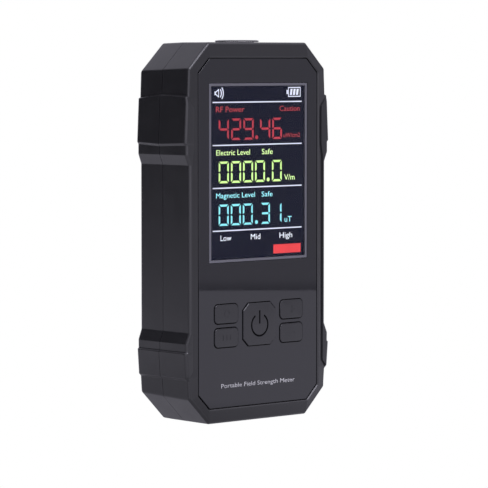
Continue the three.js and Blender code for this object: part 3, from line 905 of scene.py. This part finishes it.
def sensor_cap():
    """A slim disc on a pale collar, with a neck into the case."""
    radius, top = CAP_HIGH.x, CAP_HIGH.z
    neck = CAP_NECK
    base = TOP + 0.36
    rim = bend((radius, base + 0.1), (radius, top), (radius - 1.2, top), 6, 0.6)
    profile = [(0.02, CAP_LOW.z), (neck - 0.4, CAP_LOW.z), (neck, CAP_LOW.z + 0.4), (neck, base)]
    profile += [(radius - 0.1, base), *rim, (5.2, top), (5.1, top - 0.2)]
    profile += [(4.7, top - 0.2), (4.6, top), (0.02, top)]
    cap = lathe("top_cap", profile, "Z", CAP_CENTRE, 96)
    piece(cap, CASE, cap_look, ["sensor_cap"])
    outside = radius - 0.15
    foot = TOP + 0.12
    section = [(outside - 0.1, foot), (outside, TOP + 0.2), (outside, base - 0.02)]
    section += [(neck + 0.1, base - 0.02), (neck + 0.1, foot)]
    collar = closed_band("cap_collar", [level_ring(r, z) for r, z in section])
    return piece(collar, CASE, white_look)


def level_ring(radius, z):
    """A level ring of points round the sensor cap's centre."""
    return [(x, y, z) for x, y in circle(CAP_CENTRE, radius, 96)]


def cross_screw(name, place, seat, head_radius, head_depth, shaft_radius, shaft_end, node):
    """A pan-head screw with a tapered cross recess and a threaded shaft."""
    top = seat + head_depth
    head = bend((head_radius, seat + head_depth * 0.45), (head_radius, top), (head_radius * 0.45, top), 6)
    shaft = [(0.02, shaft_end), (shaft_radius * 0.4, shaft_end + 0.1)]
    pitch = 0.7
    turns = int((seat - shaft_end - 1.5) / pitch)
    for turn in range(turns):
        start = shaft_end + 0.9 + turn * pitch
        shaft += [(shaft_radius * 0.78, start), (shaft_radius, start + pitch * 0.5)]
    neck = [(shaft_radius * 0.8, seat - 0.1), (shaft_radius, seat), (head_radius, seat + 0.05)]
    screw = lathe(name, shaft + neck + head + [(0.02, top)], "Y", place, 40)
    arm, half = head_radius * 0.58, 0.32
    x, z = place
    recess = []
    for across, up in ((arm, half), (half, arm)):
        rings = []
        for depth, size in ((top - 0.75, 0.55), (top + 0.2, 1.06)):
            rings.append([(x + sx * across * size, depth, z + sz * up * size)
                          for sx, sz in ((-1, -1), (1, -1), (1, 1), (-1, 1))])
        recess.append(loft("recess", rings))
    carve(screw, recess)
    return piece(screw, CASE, screw_look, [node])


def add_screws():
    for number, place in enumerate(CASE_SCREWS, 1):
        node = f"case_screw_{number}"
        cross_screw(f"rear_screw_{number}", place, HEAD_SEAT + 0.15, 2.2, 1.5, 1.1, -8.5, node)
    board_back = -3.4
    for number, place in enumerate(BOARD_SCREWS, 1):
        node = f"board_screw_{number}"
        cross_screw(f"inner_screw_{number}", place, board_back + 0.15, 1.9, 1, 0.95, -9, node)


# ------------------------------------------------------------------ keys

SMALL_KEYS = {
    "upper_left": (-15.1, 37.2),
    "lower_left": (-15.1, 29.1),
    "upper_right": (15.1, 37.2),
    "lower_right": (15.1, 29.1),
}
KEY_WIDTH, KEY_HEIGHT, KEY_ROUND = 10.6, 6.5, 1.5
POWER_HALF, POWER_BOTTOM, POWER_TOP, POWER_LEG = 7.45, 25.7, 40.25, 2.4


def small_key_outline(place, margin):
    x, z = place
    return round_rectangle(x, z, KEY_WIDTH + 2 * margin, KEY_HEIGHT + 2 * margin, KEY_ROUND + margin)


def power_key_outline(margin):
    leg = POWER_LEG + margin / 2
    return cut_rectangle(POWER_HALF + margin, POWER_BOTTOM - margin, POWER_TOP + margin, leg)


def key_outlines(margin):
    return [power_key_outline(margin)] + [small_key_outline(place, margin) for place in SMALL_KEYS.values()]


def key_shape(name, outline_for, face, place, icon):
    """A key: its cap with soft edges, the flange behind it, the stub, and its sunk icon."""
    flange_front, flange_back, stub_end = -11.4, -10.5, -8.4
    cap = flat_plate(outline_for(0), face, flange_front + 0.1, 0.32, name=name)
    carve(cap, icon)
    flange = flat_plate(outline_for(0.7), flange_front, flange_back, 0.1)
    stub_profile = [(1.5, flange_back - 0.05), (1.5, stub_end + 0.15), (1.35, stub_end)]
    stub = lathe("stub", stub_profile, "Y", place, 24)
    return merge(cap, [flange, stub])


def strip(centre, radius, width, start, end, steps=10):
    """A curved strip as one outline: part of a ring between two angles in degrees."""
    outer, inner = [], []
    for step in range(steps + 1):
        turn = math.radians(start + (end - start) * step / steps)
        for side, reach in ((outer, radius + width / 2), (inner, radius - width / 2)):
            side.append((centre[0] + math.cos(turn) * reach, centre[1] + math.sin(turn) * reach))
    return outer + inner[::-1]


SIGN_DEPTH = 0.2
POWER_ARC = ((0, 32.6), 3.75, 0.62, 122, 418, 40)
POWER_BAR = Vector((0.31, 33.0, 37.6))         # half width, bottom and top


def power_icon(face):
    """The usual on-off sign: an open ring with a bar in its gap."""
    depths = (face - 1, face + SIGN_DEPTH)
    ring = flat_plate(strip(*POWER_ARC), *depths)
    bar = box((-POWER_BAR.x, POWER_BAR.x), depths, (POWER_BAR.y, POWER_BAR.z))
    return [ring, bar]


def small_icon(kind, place, face):
    """Plain small signs, barely sunk into the small keys."""
    x, z = place
    depths = (face - 1, face + 0.08)
    if kind == "upper_left":
        return [flat_plate(strip(place, 1.1, 0.3, 0, 300, 24), *depths)]
    if kind == "lower_left":
        bars = [(x - 2 + 1.6 * step, x - 1.5 + 1.6 * step) for step in range(3)]
        return [box(bar, depths, (z - 0.9, z + 0.9)) for bar in bars]
    across = box((x - 1.3, x + 1.3), depths, (z - 0.2, z + 0.2))
    if kind == "lower_right":
        return [across]
    return [across, box((x - 0.2, x + 0.2), depths, (z - 1.3, z + 1.3))]


def add_keys():
    power_place = (0, (POWER_BOTTOM + POWER_TOP) / 2)
    face = POWER_FACE
    power = key_shape("on_off_key", power_key_outline, face, power_place, power_icon(face))
    piece(power, "power_button", key_look, ["power_key"])
    ink = moulded("sign_ink", (0.002, 0.002, 0.0025, 1), 0.7, grain=0.2, grain_depth=0.002, wear=0.0,
                  level=0.05)
    bar = rectangle(-POWER_BAR.x, POWER_BAR.x, POWER_BAR.y, POWER_BAR.z)
    figures("power_sign", [strip(*POWER_ARC), bar], ink, face + SIGN_DEPTH - 0.02,
            "power_button")
    for name, place in SMALL_KEYS.items():
        face = node_box(name + "_key")[0].y
        key = key_shape(name + "_button_cap", lambda margin: small_key_outline(place, margin), face, place,
                        small_icon(name, place, face))
        piece(key, name + "_button", key_look, [name + "_key"])


# ------------------------------------------------------------------ panel and display


def front_panel():
    """The gloss plate with its display opening and key holes, all edges slightly rounded."""
    outline = cut_rectangle(PANEL_HIGH.x, PANEL_LOW.z, PANEL_HIGH.z, 5)
    panel = flat_plate(outline, PANEL_LOW.y, PANEL_HIGH.y, 0.18, name="face_panel")
    reach = 0.15
    opening = box((BORDER_LOW.x - reach, BORDER_HIGH.x + reach), (LIP - 1, SEAT + 1),
                  (BORDER_LOW.z - reach, BORDER_HIGH.z + reach))
    holes = [flat_plate(one, LIP - 1, SEAT + 1) for one in key_outlines(GAP)]
    carve(panel, [opening, *holes])
    return piece(panel, CASE, panel_look, ["front_panel"])


def screen_border():
    width = 0.9
    outer = box((BORDER_LOW.x, BORDER_HIGH.x), (BORDER_LOW.y, BORDER_HIGH.y), (BORDER_LOW.z, BORDER_HIGH.z),
                name="display_rim")
    inner = box((BORDER_LOW.x + width, BORDER_HIGH.x - width), (LIP - 1, SEAT + 1),
                (BORDER_LOW.z + width, BORDER_HIGH.z - width))
    carve(outer, [inner])
    soften(outer, 0.12)
    return piece(outer, CASE, border_look, ["screen_border"])


def screen_window():
    low, high = WINDOW_LOW, WINDOW_HIGH
    outline = [(low.x, low.z), (high.x, low.z), (high.x, high.z), (low.x, high.z)]
    cover = flat_plate(outline, low.y, high.y, 0.08, name="clear_cover")
    return piece(cover, CASE, window_look, ["screen_window"])


INK = DISPLAY_FACE - 0.02              # lit figures lie just in front of the display


def figures(name, polygons, look, depth=INK, body=CASE):
    """Flat figures from outlines in X and Z, facing the front."""
    points, faces = [], []
    for outline in polygons:
        area = sum(a[0] * b[1] - b[0] * a[1] for a, b in zip(outline, outline[1:] + outline[:1]))
        ordered = outline if area > 0 else outline[::-1]
        faces.append(tuple(range(len(points), len(points) + len(ordered))))
        points += [(x, depth, z) for x, z in ordered]
    mesh = bpy.data.meshes.new(name)
    mesh.from_pydata([tuple(part * MM for part in point) for point in points], [], faces)
    made = new_object(name, mesh)
    made.data.materials.append(look)
    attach(made, body)
    return made


SEGMENTS = {"0": "abcdef", "1": "bc", "2": "abdeg", "3": "abcdg", "4": "bcfg", "5": "acdfg", "6": "acdefg",
            "7": "abc", "8": "abcdefg", "9": "abcdfg"}


def segment_outlines(digit, x, z, width, height, stroke):
    """The lit bars of one digit, with mitred ends."""
    gap, corner = 0.17, 0.3
    right, top, middle = x + width, z + height, z + height / 2
    half = stroke / 2
    cut, inner = stroke + corner, half + gap
    outer_tip, nib = gap + half * 0.4, half * 0.6

    def level_bar(end, up):
        """The top bar with up 1, the bottom bar with up -1."""
        inside = end - up * stroke
        return [(x + corner, end), (right - corner, end), (right - cut, inside), (x + cut, inside)]

    def side_bar(edge, inward, end, up):
        """An upright bar at one edge: its outer end, its slanted inner end and its tips."""
        inside = edge + inward * stroke
        return [(edge, end - up * corner), (inside, end - up * cut), (inside, middle + up * inner),
                (edge + inward * nib, middle + up * gap), (edge, middle + up * outer_tip)]

    start, stop = x + stroke + gap, right - stroke - gap
    bars = {
        "a": level_bar(top, 1),
        "b": side_bar(right, -1, top, 1),
        "c": side_bar(right, -1, z, -1),
        "d": level_bar(z, -1),
        "e": side_bar(x, 1, z, -1),
        "f": side_bar(x, 1, top, 1),
        "g": [(x + inner, middle), (start, middle + half), (stop, middle + half),
              (right - inner, middle), (stop, middle - half), (start, middle - half)],
    }
    return [bars[letter] for letter in SEGMENTS[digit]]


def rectangle(x0, x1, z0, z1):
    return [(x0, z0), (x1, z0), (x1, z1), (x0, z1)]


def reading(places, dot, low, high):
    """A row of digits: (digit, left edge, width) for each, and the place of the point."""
    stroke = 0.74
    outlines = []
    for digit, x, width in places:
        outlines += segment_outlines(digit, x, low, width, high - low, stroke)
    outlines.append(circle((dot, low + 0.75), 0.68, 20))
    return outlines


def words(name, texts, look, depth=INK):
    """Flat lettering. Each text: (words, left, right, baseline, height of a capital)."""
    meshes = []
    for text, left, right, base, height in texts:
        curve = bpy.data.curves.new(name, "FONT")
        curve.body = text
        curve.size = 1
        curve.resolution_u = 3
        letter = new_object(name, curve)
        bpy.context.view_layer.update()
        mesh = bpy.data.meshes.new_from_object(letter)
        bpy.data.objects.remove(letter)
        spread = [vertex.co.x for vertex in mesh.vertices]
        wide = (right - left) / (max(spread) - min(spread))
        tall = height / CAPITAL
        first = min(spread)
        for vertex in mesh.vertices:
            x, up = vertex.co.x, vertex.co.y
            vertex.co = Vector((left + (x - first) * wide, depth, base + up * tall)) * MM
        meshes.append(mesh)
    made = new_object(name, meshes[0])

    def work(cells):
        for mesh in meshes[1:]:
            cells.from_mesh(mesh)
    edit(made, work)
    made.data.materials.clear()
    made.data.materials.append(look)
    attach(made, CASE)
    return made


CAPITAL = 0.7                          # height of a capital letter in the built-in font at size 1


def add_display():
    red = glowing("lit_red", srgb(188, 60, 74))
    dim_red = glowing("lit_dim_red", srgb(196, 72, 80))
    green = glowing("lit_yellow_green", srgb(206, 246, 150), 1.2)
    green_text = glowing("lit_green_text", srgb(214, 246, 166), 1.5)
    cyan = glowing("lit_cyan", srgb(136, 222, 236), 1.2)
    cyan_text = glowing("lit_cyan_text", srgb(150, 228, 240), 1.5)
    white = glowing("lit_white", srgb(226, 232, 244), 1.45)
    pale = glowing("lit_pale", srgb(216, 220, 240), 1.2)
    bar_red = glowing("lit_bar_red", srgb(236, 68, 72))

    rules = [rectangle(-20.65, 20.65, z - 0.2, z + 0.2) for z in (108.92, 94.4, 79.9, 65.4)]
    figures("display_rules", rules, pale)

    middle = 112.0
    speaker = [rectangle(-19.8, -19.2, middle - 0.6, middle + 0.6)]
    for up in (-1, 1):
        speaker.append([(-19.2, middle + up * 0.6), (-19.2, middle + up * 0.15), (-17.95, middle + up * 0.95),
                        (-17.95, middle + up * 1.45)])
    speaker.append(rectangle(-18.1, -17.75, middle - 1.4, middle + 1.4))
    waves = [strip((-18.8, middle), radius, 0.42, -40, 40) for radius in (2.1, 3.0)]
    x0, x1, z0, z1, line = 14.2, 20.1, 110.5, 113.9, 0.34
    frame_lines = [rectangle(x0, x1, z0, z0 + line), rectangle(x0, x1, z1 - line, z1),
                   rectangle(x0, x0 + line, z0 + line, z1 - line),
                   rectangle(x1 - line, x1, z0 + line, z1 - line), rectangle(13.45, 14.1, 111.5, 112.9)]
    charge = [[(x, z0 + 0.65), (x + 1.0, z0 + 0.65), (x + 1.35, z1 - 0.65), (x + 0.35, z1 - 0.65)]
              for x in (15.0, 16.45, 17.9)]
    figures("display_signs", speaker + waves + frame_lines + charge, pale)

    wide = 4.6
    power = [("4", -17.87, 4.57), ("2", -12.2, 4.5), ("9", -6.6, 4.7), ("4", 1.1, 4.7), ("6", 6.8, 4.5)]
    figures("radio_reading", reading(power, -0.5, 96.1, 103.4), red)
    electric = [("0", x, wide) for x in (-17.9, -12.33, -6.78, -1.24, 6.63)]
    figures("electric_reading", reading(electric, 4.87, 81.55, 88.9), green)
    magnetic = [("0", -17.95, wide), ("0", -12.4, wide), ("0", -6.9, wide), ("3", 1.3, 4.4), ("1", 6.75, 4.4)]
    figures("magnetic_reading", reading(magnetic, -0.58, 67.1, 74.35), cyan)
    figures("level_bar", [rectangle(7.33, 20.2, 56.7, 59.8)], bar_red)

    words("radio_words", [("RF Power", -19.15, -6.2, 105.6, 1.9), ("Caution", 10.2, 19.7, 105.7, 1.8),
                          ("uW/cm2", 12.1, 19.85, 96.65, 1.5)], dim_red)
    words("electric_words", [("Electric Level", -19, -3.6, 91.0, 1.85), ("Safe", 1.9, 7.0, 91.0, 1.85),
                             ("V/m", 12.4, 17.3, 81.9, 2.0)], green_text)
    words("magnetic_words", [("Magnetic Level", -19.1, -1.3, 76.5, 1.75), ("Safe", 1.8, 6.9, 76.5, 1.75),
                             ("uT", 12.6, 15.9, 67.45, 1.95)], cyan_text)
    words("scale_words", [("Low", -17.1, -12.2, 62.0, 1.9), ("Mid", -3.2, 1.2, 62.0, 1.9),
                          ("High", 10.2, 16.2, 62.0, 1.9)], white)
    print_ink = moulded("printed_grey", (0.45, 0.45, 0.45, 1), 0.5, grain=0.2, grain_depth=0.002, wear=0.0)
    words("panel_print", [("Portable Field Strength Meter", -17.3, 16.9, 11.95, 1.45)], print_ink,
          PANEL_LOW.y - 0.015)


def display_surface():
    """The display behind its figures: deep navy light, a shade uneven, over a dark glossy layer."""
    return glowing("display_navy", srgb(8, 12, 29), unevenness=0.04, base=(0.003, 0.003, 0.006, 1))


# ------------------------------------------------------------------ battery cells and contacts


def battery_cell(name, plus_up):
    """A cell with a rolled sleeve, a crimped shoulder and its nub."""
    low, high = node_box(name + "_cell")
    radius = (high.x - low.x) / 2
    centre = ((low.x + high.x) / 2, (low.y + high.y) / 2)
    length = high.z - low.z
    body = length - 1
    profile = [(0.02, 0.15), (radius - 1.6, 0.15), (radius - 1.4, 0), (radius - 0.5, 0), (radius - 0.1, 0.15),
               (radius, 0.5), (radius, body - 0.6), (radius - 0.15, body - 0.2), (radius - 0.6, body),
               (radius - 1.3, body), (radius - 1.5, body - 0.3), (2.6, body - 0.3), (2.5, body - 0.1),
               (1.9, body - 0.05), (1.85, length - 0.2), (1.6, length), (0.02, length)]
    if plus_up:
        profile = [(r, low.z + along) for r, along in profile]
    else:
        profile = [(r, high.z - along) for r, along in profile]
    cell = lathe(name + "_battery", profile, "Z", centre, 56)
    return piece(cell, CASE, cell_sleeve(name + "_sleeve", plus_up), [name + "_cell"])


def contact_spring(name):
    """A tapering coil with a flat foot turn, in the space of the CAD cone."""
    low, high = node_box(name + "_contact_spring")
    centre = ((low.x + high.x) / 2, (low.y + high.y) / 2)
    wide_down = name != "middle"
    wire = 0.3
    turns, steps = 4.0, 20
    path = []
    count = int(turns * steps)
    for step in range(count + 1):
        part = step / count
        climb = max(part - 0.2, 0) / 0.8
        radius = 3.6 - 1.9 * climb
        turn = 2 * math.pi * turns * part
        height = wire + (high.z - low.z - 2 * wire) * climb
        z = low.z + height if wide_down else high.z - height
        path.append((centre[0] + radius * math.cos(turn), centre[1] + radius * math.sin(turn), z))
    spring = tube(name + "_coil_spring", path, wire)
    return piece(spring, CASE, spring_look, [name + "_contact_spring"])


def contact_plate(name):
    """A pressed contact plate with clipped corners and a raised round pip."""
    low, high = node_box(name + "_contact_plate")
    x, y = (low.x + high.x) / 2, (low.y + high.y) / 2
    half = (high.x - low.x) / 2
    leg = 1.2
    outline = [(half - leg, -half), (half, -half + leg), (half, half - leg), (half - leg, half)]
    outline += [(-a, b) for a, b in reversed(outline)]
    thick = 0.3
    facing_down = name != "middle"
    base, top = (high.z, high.z - thick) if facing_down else (low.z, low.z + thick)
    tip = low.z if facing_down else high.z
    rings = [[(x + a, y + b, base) for a, b in outline], [(x + a, y + b, top) for a, b in outline]]
    plate = loft(name + "_end_contact", rings)
    pip = lathe("pip", [(2.4, (base + top) / 2), (2.2, top), (1.6, tip), (0.02, tip)], "Z", (x, y), 28)
    return piece(merge(plate, [pip]), CASE, steel_look, [name + "_contact_plate"])


# ------------------------------------------------------------------ CAD nodes that keep their shape


def set_look(node, look):
    """Gives a CAD node's object a better material."""
    target = bpy.data.objects[node]
    if not target.material_slots:
        target.data.materials.append(look)
    for holder in target.material_slots:
        holder.link = "OBJECT"
        holder.material = look


def dress_nodes():
    set_look("display_glass", display_surface())
    set_look("backlight_tray", white_look)
    set_look("ribbon_socket", white_look)
    set_look("display_ribbon", flex_look)
    set_look("main_board", board_look)
    set_look("radio_antenna_board", board_look)
    set_look("microcontroller", chip_look)
    set_look("sensor_amplifier", chip_look)
    set_look("buzzer", chip_look)
    set_look("shield_can", steel_look)
    set_look("electric_field_plate", metal("copper_foil", (0.6, 0.32, 0.2, 1), 0.3, brush=(10, 1, 1)))
    for axis in "xyz":
        set_look("magnetic_coil_" + axis, copper_look)
    for name in ["power", *SMALL_KEYS]:
        set_look(name + "_switch", chip_look)
        set_look(name + "_plunger", white_look)


# ------------------------------------------------------------------ floor, light and camera


def glow_material(name, tint=(1, 1, 1, 1)):
    """Plain light: a material, its node tree, its emission shader and its output."""
    made = bpy.data.materials.new(name)
    made.use_nodes = True
    tree = made.node_tree
    tree.nodes.clear()
    light = add_node(tree, "ShaderNodeEmission", {"Color": tint, "Strength": 1.0})
    out = add_node(tree, "ShaderNodeOutputMaterial", {"Surface": light.outputs[0]})
    return made, tree, light, out


def table_light():
    """The lit table, with a painted shadow that dims it close to the object and a painted shadow strip just
    beyond its far edge.
    """
    made, tree, light, out = glow_material("lit_floor", STUDIO_TINT)
    edge, strip_end, end = 0.58, 0.66, 0.7
    place = object_place(tree)
    distance = add_node(tree, "ShaderNodeVectorMath", {0: place}, operation="LENGTH").outputs["Value"]
    # painted contact shadow: the table's light falls to 0.6 round a point under the object
    shaded = {0: place, 1: (-0.04, 0.03, 0)}
    from_shade = add_node(tree, "ShaderNodeVectorMath", shaded, operation="DISTANCE").outputs["Value"]
    table = remap(tree, from_shade, 0.05, 0.12, 0.6, 1.0)
    # painted shadow: a dim strip just beyond the table's far edge
    shadow = remap(tree, distance, edge, strip_end, 0.34, 0.6)
    beyond = remap(tree, distance, edge - 0.002, edge + 0.002, 0.0, 1.0)
    difference = math_node(tree, "MULTIPLY", math_node(tree, "SUBTRACT", shadow, table), beyond)
    tree.links.new(math_node(tree, "ADD", table, difference), light.inputs["Strength"])
    keep = remap(tree, distance, strip_end, end, 1.0, 0.0)
    clear = add_node(tree, "ShaderNodeBsdfTransparent").outputs[0]
    mixed = add_node(tree, "ShaderNodeMixShader", {0: keep, 1: clear, 2: light.outputs[0]})
    tree.links.new(mixed.outputs[0], out.inputs["Surface"])
    return made


def disc(name, radius, height, look):
    """A flat level disc of the stage."""
    points = [(x, y, height) for x, y in circle((0, 0), radius, 96)]
    mesh = bpy.data.meshes.new(name)
    mesh.from_pydata(points, [], [tuple(range(len(points)))])
    made = new_object(name, mesh)
    made.data.materials.append(look)
    return made


def only_seen_by_camera(target):
    target.visible_diffuse = False
    target.visible_glossy = False
    target.visible_transmission = False
    target.visible_shadow = False


STUDIO_RADIUS = 3.5


def add_stage():
    """A plain white floor and surround for the camera, and a lit patch of floor for the light."""
    white = glow_material("studio_white")[0]
    only_seen_by_camera(disc("floor", STUDIO_RADIUS, -0.0006, white))
    cells = bmesh.new()
    bmesh.ops.create_uvsphere(cells, u_segments=32, v_segments=16, radius=STUDIO_RADIUS)
    mesh = bpy.data.meshes.new("surround")
    cells.to_mesh(mesh)
    cells.free()
    surround = new_object("surround", mesh)
    mesh.materials.append(white)
    only_seen_by_camera(surround)
    lit = disc("lit_floor", 0.75, -0.0003, table_light())
    lit.visible_camera = False


def direction(azimuth, elevation):
    """Unit vector towards a place round the object: azimuth 0 is in front, 90 to the right."""
    a, e = math.radians(azimuth), math.radians(elevation)
    return Vector((math.sin(a) * math.cos(e), -math.cos(a) * math.cos(e), math.sin(e)))


def add_light():
    """Soft studio surround: bright above and in front, a large softbox by the camera, dark behind left."""
    world = bpy.data.worlds.new("studio")
    bpy.context.scene.world = world
    world.use_nodes = True
    tree = world.node_tree
    background = tree.nodes["Background"]
    place = add_node(tree, "ShaderNodeTexCoord").outputs["Generated"]

    def lobe(way, start, end, strength):
        """Light that comes in smoothly as the direction turns towards one way."""
        dot = add_node(tree, "ShaderNodeVectorMath", {0: place, 1: way}, operation="DOT_PRODUCT")
        inputs = {"Value": dot.outputs["Value"], "From Min": math.cos(math.radians(start)),
                  "From Max": math.cos(math.radians(end)), "To Min": 0.0, "To Max": strength}
        return add_node(tree, "ShaderNodeMapRange", inputs, interpolation_type="SMOOTHSTEP").outputs["Result"]

    total = 0.04
    for term in (
        lobe(direction(25, 0), 105, 75, 0.58),
        lobe(direction(0, 90), 60, 30, 0.85),
        lobe(direction(155, 12), 42, 18, 1.0),
        lobe(CAMERA_WAY, 28, 13, 1.4),
        lobe(direction(-23, 56), 16, 8, 8.0),
    ):
        total = math_node(tree, "ADD", term, total)
    background.inputs["Color"].default_value = STUDIO_TINT
    tree.links.new(total, background.inputs["Strength"])


CAMERA_AZIMUTH, CAMERA_ELEVATION = -42.32, 3.59
CAMERA_DISTANCE = 1.03266
CAMERA_SIDEWAYS, CAMERA_UP = 0.00470, 0.05953
CAMERA_LENS = 219.4
CAMERA_WAY = direction(CAMERA_AZIMUTH, CAMERA_ELEVATION)
STUDIO_TINT = (1.0, 0.975, 1.13, 1)    # the studio light is a little cool


def add_camera():
    """The camera at the photograph's viewing angle."""
    azimuth = math.radians(CAMERA_AZIMUTH)
    sideways = Vector((math.cos(azimuth), math.sin(azimuth), 0))
    up = CAMERA_WAY.cross(sideways)
    camera = bpy.data.cameras.new("camera")
    camera.sensor_width = 36
    camera.lens = CAMERA_LENS
    camera.clip_start = 0.01
    holder = new_object("camera", camera)
    turn = Matrix((sideways, up, CAMERA_WAY)).transposed().to_4x4()
    turn.translation = CAMERA_WAY * CAMERA_DISTANCE + sideways * CAMERA_SIDEWAYS + up * CAMERA_UP
    holder.matrix_world = turn
    bpy.context.scene.camera = holder


# ------------------------------------------------------------------ everything

add_camera()
front_shell()
back_shell()
battery_door()
sensor_cap()
add_screws()
front_panel()
screen_border()
screen_window()
add_keys()
add_display()
for side in SIDES:
    battery_cell(side, side != "middle")
    contact_spring(side)
    contact_plate(side)
dress_nodes()
add_stage()
add_light()
bpy.context.scene.view_settings.view_transform = "Standard"
